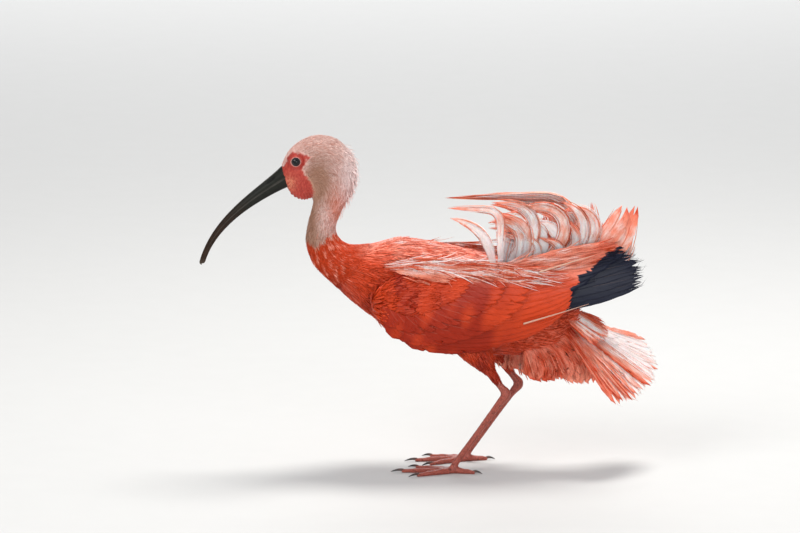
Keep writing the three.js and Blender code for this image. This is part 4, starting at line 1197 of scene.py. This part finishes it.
def layShoulder(bunch, place):
    # long pale feathers of the shoulder that hang wet over the upper edge of the wing
    s, marks = scapulars, shoulderMarks
    for i, root in enumerate(s["roots"]):
        path = arc(root, np.add(root, s["reach"]), 0.02)
        vane(bunch, path, s["width"], "covert", place, (i, 8), h=6.0, camber=0.3, ragged=0.25, splits=0.4,
             thick=0.2, tilt=0.1, rowCount=40, marks=marks)
        strands(bunch, s["wisps"], path, 16, "covert", place, (i, 8), h=6.2, start=(0.1, 0.7),
                span=(0.2, 0.45), girth=0.36, flare=0.4, marks=marks)
    strands(bunch, s["edgeWisps"], s["edge"], 16, "covert", place, (5, 8), h=6.4, start=(-0.02, 0.8),
            span=(0.1, 0.26), girth=0.42, flare=0.6, stray=0.7, mottled=0.42, marks=marks)
    strands(bunch, s["upperWisps"], s["upper"], 20, "covert", place, (6, 8), h=3.2, start=(-0.02, 0.75),
            span=(0.2, 0.45), girth=0.4, flare=0.5, stray=0.6, marks=rosyMarks)


for name, side in sides.items():
    place = onWing(side)
    arms, flight, hand, shoulder = [Bunch() for _ in range(4)]
    greater, median = [wingTiers[tier]["count"] for tier in ("greater", "median")]
    layTier(arms, "greater", place, wingMarks, 0, greater + median)
    layTier(arms, "median", place, wingMarks, greater, greater + median)
    finished(arms.piece(f"coverts_{name}", wingFinish))
    cells = wingTiers["secondary"]["count"] + len(paleShafts)
    layTier(flight, "secondary", place, {**wingMarks, "ink": tipInk}, 0, cells)
    for i, (path, h) in enumerate(paleShafts):
        rod(flight, path, place, (cells - 1 - i, cells), h, (2.0, 0.4))
    finished(flight.piece(f"secondaries_{name}_vanes", wingFinish), [f"secondaries_{name}"])
    layTier(hand, "primary", place, blackMarks)
    finished(hand.piece(f"primaries_{name}_vanes", inkFinish), [f"primaries_{name}"])
    layShoulder(shoulder, place)
    finished(shoulder.piece(f"scapulars_{name}", paleFinish))

print("plumes")
plumes = {  # share of the way along the root, heading, turn, start and end of the turn, length, width
    "left": [
        (0.17, 101, 62, 0.14, 1, 76, 11), (0.26, 90, 86, 0.45, 0.67, 109, 10),
        (0.5, 76, 116, 0.3, 1, 82, 14), (0.62, 74, 100, 0.35, 0.9, 108, 12),
        (0.8, 54, 136, 0.3, 0.85, 132, 14), (0.9, 44, 110, 0.4, 1, 112, 15),
        (0.97, 43, 150, 0.45, 1, 122, 18), (1, 36, 36, 0.5, 1, 116, 25), (1, 24, 50, 0.45, 0.85, 130, 15),
    ],
    "right": [
        (0.56, 80, 90, 0.3, 1, 70, 12), (0.66, 72, 104, 0.3, 0.85, 98, 13),
        (0.76, 56, 122, 0.25, 0.75, 138, 13), (0.86, 48, 134, 0.2, 0.57, 206, 9),
        (0.94, 46, 108, 0.35, 1, 96, 17), (1, 36, 62, 0.3, 1, 100, 18), (1, 14, 62, 0.45, 0.85, 124, 17),
        (1, 22, 40, 0.4, 1, 112, 18),
    ],
}
crestSettings = {
    "fill": 24, "web": 14,  # feathers of the mass between the main ones, and short ones at their foot
    "fillFrom": {"left": 2.5, "right": 2.2}, "longestFill": 125, "webWidth": 22,
    "wisps": 46, "firstWisps": 16, "fillWisps": 22, "webWisps": 44, "bladeWisps": 12,
    "segments": 13, "fillSegments": 9,
    "wall": (27, 14, 0.13, 195),  # half width fore and aft, lean, height of its foot
    "ridge": (15.5, 17.05), "ridgeAngle": 36, "sunk": 4,  # rows of the body between which the roots sit
}


def onRidge(side):
    # the same for the crest, whose sheet leans outwards and runs in towards the tail
    front, rear, lean, foot = crestSettings["wall"]

    def place(a, b, h):
        wall = mix(front, rear, np.clip((a - 20) / 100, -0.4, 1)) + lean * (b - foot)
        return np.stack([a, side * (wall + h * np.clip((b - 190) / 40, 0.2, 1)), b], -1)
    return place


def bladePale(v, u, p):
    # the blades are pink, and orange towards the tail and their roots
    x, z = p[:, 0], p[:, 2]
    level = 0.62 - 0.5 * smooth(x, 158, 174) * smooth(z, 232, 252) - 0.25 * smooth(z, 222, 208)
    return np.clip(level + 0.15 * ripple(p, 2.4, 2), 0.04, 1)


def plumeMarks(light):
    # white to pink, palest low down at the front, with orange-red edges and tips
    def pale(v, u, p):
        patch = np.exp(-(((p[:, 0] - 54) / 22) ** 2) - ((p[:, 2] - 212) / 15) ** 2)
        level = light * (1 - 0.4 * smooth(np.abs(u), 0.6, 1.0) - 0.45 * smooth(v, 0.68, 1.0)) + 0.6 * patch
        return np.clip(level + 0.14 * ripple(p * [1, 1, 0.5], 1.7, 2), 0.06, 1)
    return {"pale": pale, "deep": 0.05}


def layPlume(crest, place, cell, row, h, light, wisps, segments):
    at, heading, turn, low, high, length, width = row
    section = mix(*crestSettings["ridge"], min(at, 1))
    root = bodyPoint(section, math.radians(crestSettings["ridgeAngle"]), -crestSettings["sunk"])[0]
    path = curl(root[[0, 2]], heading, turn, (low, min(high, 1)), length)
    blade = turn <= 50  # the straighter ones by the tail keep their web
    form, marks = ("flight", {"pale": bladePale}) if blade else ("plume", plumeMarks(light))
    share, splits, count, end, flare = ((1.0, 0.1, crestSettings["bladeWisps"], 0.84, 0.1) if blade else
                                        (0.8, 0.2, wisps, 0.7, 0.25))
    vane(crest, path, width * share, form, place, cell, h=h, rowCount=segments * 3, ragged=0.1,
         splits=splits, camber=0.7, marks=marks)
    strands(crest, count, path, width * 0.95, form, place, cell, h=h, start=(0, 0.5), end=(end, 1.0),
            girth=0.42, segments=segments, flare=flare, stray=0.8, mottled=0.28, marks=marks)


plumeFinish = vaneFinish("plume")
for name, side in sides.items():
    crest, place, s = Bunch(), onRidge(side), crestSettings
    table = np.array(plumes[name])
    main, fillEnd, total = np.cumsum([len(table), s["fill"], s["web"]])
    for i in range(total):
        if i < main:
            row, h, light = table[i], mix(5, -5, i / (main - 1)), chance.uniform(0.6, 1.1)
            wisps = s["wisps"] if i > 1 else s["firstWisps"]
        elif i < fillEnd:  # the mass between them, a little shorter
            k = chance.uniform(s["fillFrom"][name], main - 3.2)
            at, heading, turn, low, high, length = rows(table, k)[0, :6]
            heading, turn = heading + chance.uniform(-4, 4), max(turn * chance.uniform(0.85, 1.05), 56)
            length, width = min(length, s["longestFill"]) * chance.uniform(0.5, 0.84), chance.uniform(9, 15)
            row, wisps = (at, heading, turn, low, high, length, width), s["fillWisps"]
            h, light = chance.uniform(-6, 3), chance.uniform(0.55, 1.25)
        else:  # short broad feathers close the foot of the crest
            k = (i - fillEnd) / (s["web"] - 1)
            row = (mix(0.3, 1.0, k), mix(70, 26, k) + chance.uniform(-4, 4), mix(52, 62, k), 0.3, 1,
                   mix(48, 84, k) * chance.uniform(0.9, 1.1), s["webWidth"])
            h, light, wisps = chance.uniform(-8, -4), chance.uniform(0.7, 1.2), s["webWisps"]
        segments = s["segments" if i < main else "fillSegments"]
        layPlume(crest, place, (i, total), row, h, light, wisps, segments)
    finished(crest.piece(f"plumes_{name}_wet", plumeFinish), [f"plumes_{name}"])

print("tail and vent")
tailSettings = {
    "count": 12, "spread": 32, "length": 115, "width": 20, "h": 1, "step": 1.25, "wisps": 14, "root": 4,
    "base": (103, 0, 151), "pitch": -37, "roll": 26,
    # from the lowest feather up: how white each is, and how red its edges are
    "light": [0.38, 0.62, 0.5, 0.85, 0.75, 0.66, 1.0, 1.05, 0.9, 1.15, 1.2, 0.55],
    "edge": [0.2, 0.55, 0.2, 0.6, 0.15, 0.6, 0.35, 0.1, 0.5, 0.1, 0.25, 0.5],
}
rootSettings = {  # the short feathers over the roots of the tail
    "count": 7, "spread": 26, "length": 52, "width": 15, "h": 6.5, "step": 0.8, "wisps": 14, "root": -8,
    "base": (103, 0, 151), "pitch": -33, "roll": 22, "light": [0.4, 0.7, 0.84, 0.8, 0.3, 0.16, 0.2],
}
ventSettings = {
    "fans": [{"count": 4, "spread": 26, "length": length, "width": 17, "h": 0, "step": 1.2, "wisps": 14,
              "root": 0, "base": base, "pitch": pitch, "roll": 16}
             for base, pitch, length in (((76, 0, 122), -68, 38), ((98, 0, 128), -62, 46))],
    "roots": curve((50, 121), (76, 124), (104, 134)),
    "tips": curve((47, 92), (76, 84), (106, 84), (134, 80)),
    "count": 10, "begin": {"left": 0.42, "right": 0.0}, "width": (17, 27), "tilt": -0.14, "wisps": 22,
}


def fanFrame(origin, pitch, roll):
    # a tilted sheet that starts at origin and runs rearwards
    p, r = math.radians(-pitch), math.radians(roll)
    turnY = np.array([[math.cos(p), 0, math.sin(p)], [0, 1, 0], [-math.sin(p), 0, math.cos(p)]])
    turnX = np.array([[1, 0, 0], [0, math.cos(r), -math.sin(r)], [0, math.sin(r), math.cos(r)]])
    turn = turnY @ turnX
    origin = np.array(origin, float)
    return lambda a, b, h: np.stack([a, b, h], -1) @ turn.T + origin


def fan(bunch, s, form, marks, first, total):
    # s: its settings; marks: a function of the feather's number
    place = fanFrame(s["base"], s["pitch"], s["roll"])
    for i in range(s["count"]):
        u = 2 * i / (s["count"] - 1) - 1
        way = math.radians(s["spread"] * u)
        reach = s["length"] * chance.uniform(0.95, 1.03) * (1 - 0.06 * u * u)
        start = (s["root"] * math.cos(way), 0.35 * s["root"] * math.sin(way) + u * 4)
        path = arc(start, (math.cos(way) * reach, math.sin(way) * reach), -0.03 * u)
        h = s["h"] - s["step"] * abs(i - (s["count"] - 1) / 2 + 0.1)
        where = (path, s["width"], form, place, (first + i, total), h)
        vane(bunch, *where, rowCount=34, ragged=0.1, splits=0.2, marks=marks(i))
        strands(bunch, s["wisps"], *where, start=(0.2, 0.7), end=(0.88, 1.04), spread=0.95, girth=0.45,
                segments=8, flare=0.12, mottled=0.2, marks=marks(i))


def tailMarks(i):
    light, edge = tailSettings["light"][i], tailSettings["edge"][i]
    return {"deep": 0.05, "pale": lambda v, u, p: np.clip(
        light * smooth(v, 0.06, 0.3) - edge * smooth(u, 0.1, -0.95) * 0.9
        + 0.14 * ripple(p * [0.5, 1, 0.5], 2.0, 7), 0.03, 1)}


def rootMarks(i):
    return {"pale": lambda v, u, p: np.clip(
        rootSettings["light"][i] - 0.3 * smooth(np.abs(u), 0.5, 1) + 0.16 * ripple(p, 2.2, 3), 0.02, 1)}


tailFinish = vaneFinish("tail")
tail, vent = Bunch(), Bunch()
cells = tailSettings["count"] + rootSettings["count"]
fan(tail, tailSettings, "fan", tailMarks, 0, cells)
fan(tail, rootSettings, "covert", rootMarks, tailSettings["count"], cells)
finished(tail.piece("tail_vanes", tailFinish), ["tail"])

# the vent's feathers in two painted lights: paler where lit, on the far side and the middle fans, and with
# darker red patches of painted shade on the near side
litVentMarks = {"pale": lambda v, u, p: np.clip(0.26 + 0.12 * v + 0.15 * ripple(p, 2.5, 4), 0, 1)}
shadedVentMarks = {
    "pale": lambda v, u, p: np.clip(
        0.16 + 0.26 * smooth(v, 0.5, 1) * smooth(p[:, 0], 95, 125) + 0.1 * ripple(p, 2.5, 4), 0, 1),
    "deep": lambda v, u, p: np.clip(0.12 + 0.5 * ripple(p * [1, 1, 0.25], 2.6, 8), 0, 1),
}
first, total = 0, 30  # cells of the bake map
for settings in ventSettings["fans"]:
    fan(vent, settings, "covert", lambda i: litVentMarks, first, total)
    first += settings["count"]
for name, side in sides.items():
    place = lambda a, b, h: np.stack([a, side * (mix(21, 11, (a - 50) / 60) + 0.06 * (120 - b) + h), b], -1)
    s, marks = ventSettings, shadedVentMarks if name == "left" else litVentMarks
    for i in range(s["count"]):
        u = mix(s["begin"][name], 1, i / (s["count"] - 1))
        tip = point(s["tips"], u) + chance.uniform((-2, 0), (2, 6))
        path = arc(point(s["roots"], u), tip, mix(0.02, 0.08, u))
        vane(vent, path, chance.uniform(*s["width"]), "covert", place, (first + i, total), tilt=s["tilt"],
             rowCount=40, ragged=0.05, splits=0.08, marks=marks)
        strands(vent, s["wisps"], path, 22, "covert", place, (first + i, total), tilt=s["tilt"],
                start=(0.1, 0.7), end=(0.85, 1.0), girth=0.6, segments=8, stray=0.5, mottled=0.05,
                marks=marks)
    first += s["count"]
finished(vent.piece("vent_vanes", tailFinish), ["undertail_coverts"])


# bill, eyes and claws
print("bill, eyes and claws")
bill = {
    "root": (-154.5, 0, 281.9), "length": 121.5,
    "drop": 33, "bend": 43.5,  # degrees down at its root, and more by its tip
    "depth": (5.3, 12.3, 3.2), "width": (3.2, 7.3, 5.5),  # at the tip, more towards and right at the root
    "parting": 0.1, "groove": 0.55, "nostril": 1.5, "lowerShort": 0.012, "hidden": 0.05,
    "steps": 110, "sides": 26,
}


def billLine(t):
    # middle line of the bill and the way up from it
    count = 1200
    fine = np.linspace(0, 1, count + 1)
    drop = np.radians(bill["drop"] + bill["bend"] * fine**2.2)
    step = np.stack([-np.cos(drop), 0 * drop, -np.sin(drop)], -1) * bill["length"] / count
    line = np.concatenate([[bill["root"]], bill["root"] + np.cumsum(step[:-1], 0)])
    at = np.stack([np.interp(t, fine, line[:, k]) for k in range(3)], -1)
    d = np.interp(t, fine, drop)
    return at + step[0] * count * np.minimum(t, 0)[:, None], np.stack([-np.sin(d), 0 * d, np.cos(d)], -1)


def jaw(way, last):
    # one jaw, upper for way 1: rings from the gape line over the ridge to the other gape line
    bump = lambda x, middle, width: np.exp(-(((x - middle) / width) ** 2))
    t = mix(-bill["hidden"], last, np.linspace(0, 1, bill["steps"] + 1) ** 0.9)
    at, up = billLine(t)
    run, angle = t[:, None], np.linspace(0, np.pi, bill["sides"] + 1)[None]
    inside = np.clip(run, 0, 1)
    blunt = np.sqrt(np.clip(1 - np.clip((run - (last - 0.022)) / 0.022, 0, 1) ** 2, 0.02, 1))  # rounded end
    tip, more, root = bill["depth"]
    deep = (tip + more * (1 - inside) ** 1.7 + root * np.exp(-inside / 0.1)) / 2
    tip, more, root = bill["width"]
    wide = (tip + more * (1 - inside) ** 1.1 + root * np.exp(-inside / 0.12)) / 2
    rise = np.sin(angle) ** 0.94
    spread = np.cos(angle) * (1 - (0.14 if way > 0 else 0.06) * np.sin(angle) ** 2)
    off = np.abs(angle - np.pi / 2)
    cut = bump(off, mix(0.86, 0.62, np.clip(run * 1.6, 0, 1)), 0.13)
    cut = cut * smooth(run, 0.02, 0.09) * smooth(run, 0.93, 0.6)
    nostril = bump(off, 0.84, 0.16) * smooth(run, 0.085, 0.1) * smooth(run, 0.175, 0.15)
    sunk = bill["groove"] * (cut if way > 0 else cut * 0.45) + nostril * (bill["nostril"] if way > 0 else 0)
    lip = bump(angle, 0, 0.12) + bump(angle, np.pi, 0.12)
    shrink = 1 - (sunk - 0.12 * lip) / np.maximum(wide, 1.2)
    rough = 1 + 0.006 * np.sin(run * 260 + 3 * off) * smooth(run, 0.02, 0.2)
    y = spread * wide * shrink * rough * blunt
    height = rise * deep * (1 - 0.35 * sunk / np.maximum(deep, 1.5)) * blunt
    height = way * (height + bill["parting"] * (1.15 - smooth(run, 0.6, 0.85)))
    points = at[:, None] + up[:, None] * height[..., None] + np.array([0, 1, 0]) * y[..., None]
    size = angle.size
    whole = lambda x: np.broadcast_to(x, y.shape).ravel()
    uv = np.stack([whole(np.linspace(0, 0.46, size) + (0.5 if way > 0 else 0.02)),
                   whole(np.linspace(0.02, 0.98, len(t))[:, None])], -1)
    made, points = Bunch(), points.reshape(-1, 3)
    made.add(points, *tube(points, size), uv, run=whole(inside), ridge=whole(np.sin(angle)),
             groove=whole(np.clip(cut * 0.8 + nostril, 0, 1)))
    return made


def hornFinish():
    f = Finish("hornFinish", Coat_Weight=0.06, Coat_Roughness=0.25, Specular_IOR_Level=0.15)
    run, ridge, groove = f.attributes("run", "ridge", "groove")
    where = f.place()
    grain, broad, lines = f.noise(where, 260.0, 5.0), f.noise(where, 55.0, 3.0), f.noise(where, 900.0, 2.0)
    speck = (grain * 1.4 - 0.2).clip()
    base = f.blend(speck, (0.006, 0.007, 0.005), (0.018, 0.019, 0.014))
    outer = f.blend(speck, (0.009, 0.004, 0.002), (0.042, 0.021, 0.011))
    colour = f.blend((run + (broad - 0.5) * 0.35).ease(0.28, 0.7), base, outer)
    # lighter along the ridge and the cutting edges, partly worn horn and partly a painted highlight
    rim = ridge.ease(0.9, 1.0) * 0.5 + (1 - ridge).ease(0.86, 1.0) * 0.35
    rim = rim * (broad * 1.6).clip() * (1 - run.ease(0.7, 0.95))
    colour = f.blend(rim.clip(), colour, (0.16, 0.145, 0.125))
    colour = f.blend(run.ease(0.93, 1.0) * 0.5, colour, (0.12, 0.09, 0.065))
    f.set(Base_Color=f.blend(groove * 0.7, colour, (0.006, 0.006, 0.006)))
    f.set(Roughness=(0.34 + grain * 0.22 + groove * 0.15).clip(0.1, 1.0))
    f.bump(grain * 0.7 + lines * 0.3, 0.00018, 0.5)
    return f.material


horn = hornFinish()
for label, way, last in (("upper", 1, 1.0), ("lower", -1, 1 - bill["lowerShort"])):
    finished(jaw(way, last).piece(f"bill_{label}_horn", horn), [f"bill_{label}"])

eye = {"iris": 3.55, "bulge": 0.35, "rings": 40, "sides": 48, "pupil": (2.1, 2.35), "rim": (4.0, 4.2)}


def eyePiece(name, side, finish):
    # one ball with its own dark iris; the clear front is a slight bulge under a wet coat
    bend = np.linspace(0.02, np.pi - 0.02, eye["rings"])[:, None]
    turn = np.linspace(0, 2 * np.pi, eye["sides"], endpoint=False)[None]
    front = bend < np.pi / 2
    radius = eyeRadius + eye["bulge"] * smooth(np.sin(bend) * eyeRadius, eye["iris"] + 0.6, 0) * front
    whole = lambda x: np.broadcast_to(x, (bend.size, turn.size)).ravel()
    across = np.sin(bend)
    points = np.stack([whole(across * np.cos(turn) * radius), whole(side * np.cos(bend) * radius),
                       whole(across * np.sin(turn) * radius)], -1) + eyePlace * [1, side, 1]
    off = np.where(front, across * eyeRadius, 9.0)  # distance from the middle of the pupil
    uv = [whole(0.5 + np.clip(off / 9.0, 0, 1) * 0.48 * way(turn)) for way in (np.cos, np.sin)]
    made = Bunch()
    made.add(points, *tube(points, eye["sides"]), np.stack(uv, -1), off=whole(off))
    finished(made.piece(f"eye_{name}_ball", finish), [f"eye_{name}"])


def eyeFinish():
    f = Finish("eyeFinish", Roughness=0.15, Coat_Weight=0.35, Coat_Roughness=0.02, Specular_IOR_Level=0.15)
    off = f.attributes("off")[0]
    fibresAndReflection = f.noise(f.place(), 1400.0, 3.0)
    iris = f.blend(off.ease(2.3, 3.6), (0.01, 0.009, 0.01), (0.026, 0.02, 0.02))
    # a bluish tone through the iris is a painted reflection
    iris = f.blend(fibresAndReflection * 0.4, iris, (0.02, 0.032, 0.04))
    colour = f.blend(off.ease(*eye["pupil"]), (0.002, 0.002, 0.003), iris)
    f.set(Base_Color=f.blend(off.ease(*eye["rim"]) * 0.8, colour, (0.5, 0.36, 0.34)))
    return f.material


wet = eyeFinish()
for name, side in sides.items():
    eyePiece(name, side, wet)

claws = {
    "length": 5, "perToe": 5, "sides": 12, "rings": 17, "hidden": 0.25,
    # height of the middle, half height and half width, from the hidden root to the tip
    "rows": [(2.3, 1.45, 1.25), (2.75, 1.3, 1.0), (2.5, 1.05, 0.8), (1.75, 0.7, 0.5), (0.75, 0.16, 0.13)],
}


def clawFinish():
    f = Finish("clawFinish", Coat_Weight=0.2, Coat_Roughness=0.35)
    run = f.attributes("run")[0]
    grain = f.noise(f.place(), 800.0, 3.0)
    colour = f.blend(run.ease(0.0, 0.5), (0.085, 0.04, 0.032), (0.018, 0.015, 0.014))
    f.set(Base_Color=f.blend(run.ease(0.8, 1.0) * 0.5, colour, (0.11, 0.085, 0.07)))
    f.set(Roughness=0.3 + grain * 0.3)
    f.bump(grain, 0.0001, 0.5)
    return f.material


def claw(toe, side):
    start = toePoint(toe, side, 1, 0)
    way = unit(start - toePoint(toe, side, 0.9, 0))
    length = claws["length"] + claws["perToe"] * toes[toe][1]
    size, t = claws["sides"], np.linspace(-claws["hidden"], 1, claws["rings"])
    z, deep, wide = rows(claws["rows"], np.linspace(0, 1, len(t)) * (len(claws["rows"]) - 1)).T[..., None]
    turn = np.linspace(0, 2 * np.pi, size, endpoint=False)
    across, up = np.array([-way[1], way[0], 0]), np.array([0, 0, 1])
    points = start + t[:, None, None] * length * way + across * (np.cos(turn) * wide)[..., None]
    points = (points + up * (z + np.sin(turn) * deep)[..., None]).reshape(-1, 3)
    run = np.repeat(np.clip(t, 0, 1), size)
    uv = np.stack([np.tile(turn / 6.6 + 0.02, len(t)), 0.02 + run * 0.96], -1)
    made = Bunch()
    made.add(points, *tube(points, size), uv, run=run)
    return made


nail = clawFinish()
for name, side in sides.items():
    for toe in toes:
        finished(claw(toe, side).piece(f"claw_{name}_{toe}_nail", nail), [f"claw_{name}_{toe}"])


# floor, light and camera
print("floor, lamps and camera")
studio = {
    "floor": ((0.58, 0.58, 0.57), (0.6, 0.6, 0.59)), "halfFloor": 7000.0,
    "air": (0.93, 0.95, 1, 1), "airPower": 0.38,
    # the photograph is taken square to the bird's left side, a little from above, with a long lens
    "target": (-47.5, 0, 194.4), "distance": 6.333, "lens": 300.0, "height": 10.0,
}
lamps = {  # place, aim, size, power, colour
    "key": ((0.45, 0.5, 1.95), (0, 0, 0.17), 0.8, 37, (1, 0.98, 0.95)),
    "front": ((-1.1, -1.4, 1.5), (0, 0, 0.17), 1.4, 22, (1, 0.99, 0.97)),
    "fill": ((0.7, -2.2, 0.5), (0, 0, 0.17), 1.8, 26, (0.95, 0.97, 1)),
    "backdrop": ((0, 5.0, 2.6), (0, 4.6, 0), 4.0, 150, (1, 1, 1)),
}


def floorFinish():
    f = Finish("floorFinish", Roughness=0.85)
    f.set(Base_Color=f.blend(f.noise(f.place(), 30.0, 4.0), *studio["floor"]))
    return f.material


corners = np.array([[-1, -1, 0], [1, -1, 0], [1, 1, 0], [-1, 1, 0]]) * studio["halfFloor"]
floor = addPiece("floor", corners, [np.array([[0, 1, 2, 3]])], floorFinish())


def aimed(made, place, way):
    made.location = place
    made.rotation_euler = Vector(way).to_track_quat("-Z", "Y").to_euler()


for name, (place, aim, size, power, colour) in lamps.items():
    light = bpy.data.lights.new(name, "AREA")
    light.shape, light.size, light.energy, light.color = "DISK", size, power, colour
    aimed(link(bpy.data.objects.new(name, light)), place, np.subtract(aim, place))

world = bpy.data.worlds.new("air")
world.use_nodes = True
air = world.node_tree.nodes["Background"].inputs
air["Color"].default_value, air["Strength"].default_value = studio["air"], studio["airPower"]
bpy.context.scene.world = world
bpy.context.scene.view_settings.view_transform = "Standard"  # keeps the scarlet saturated

camera = bpy.data.cameras.new("camera")
camera.lens, camera.sensor_width, camera.clip_end = studio["lens"], 36, 100
view = link(bpy.data.objects.new("camera", camera))
bpy.context.scene.camera = view
height = math.radians(studio["height"])
away = np.array([0, -math.cos(height), math.sin(height)]) * studio["distance"]
aimed(view, toFrame(studio["target"]) + away, -away)
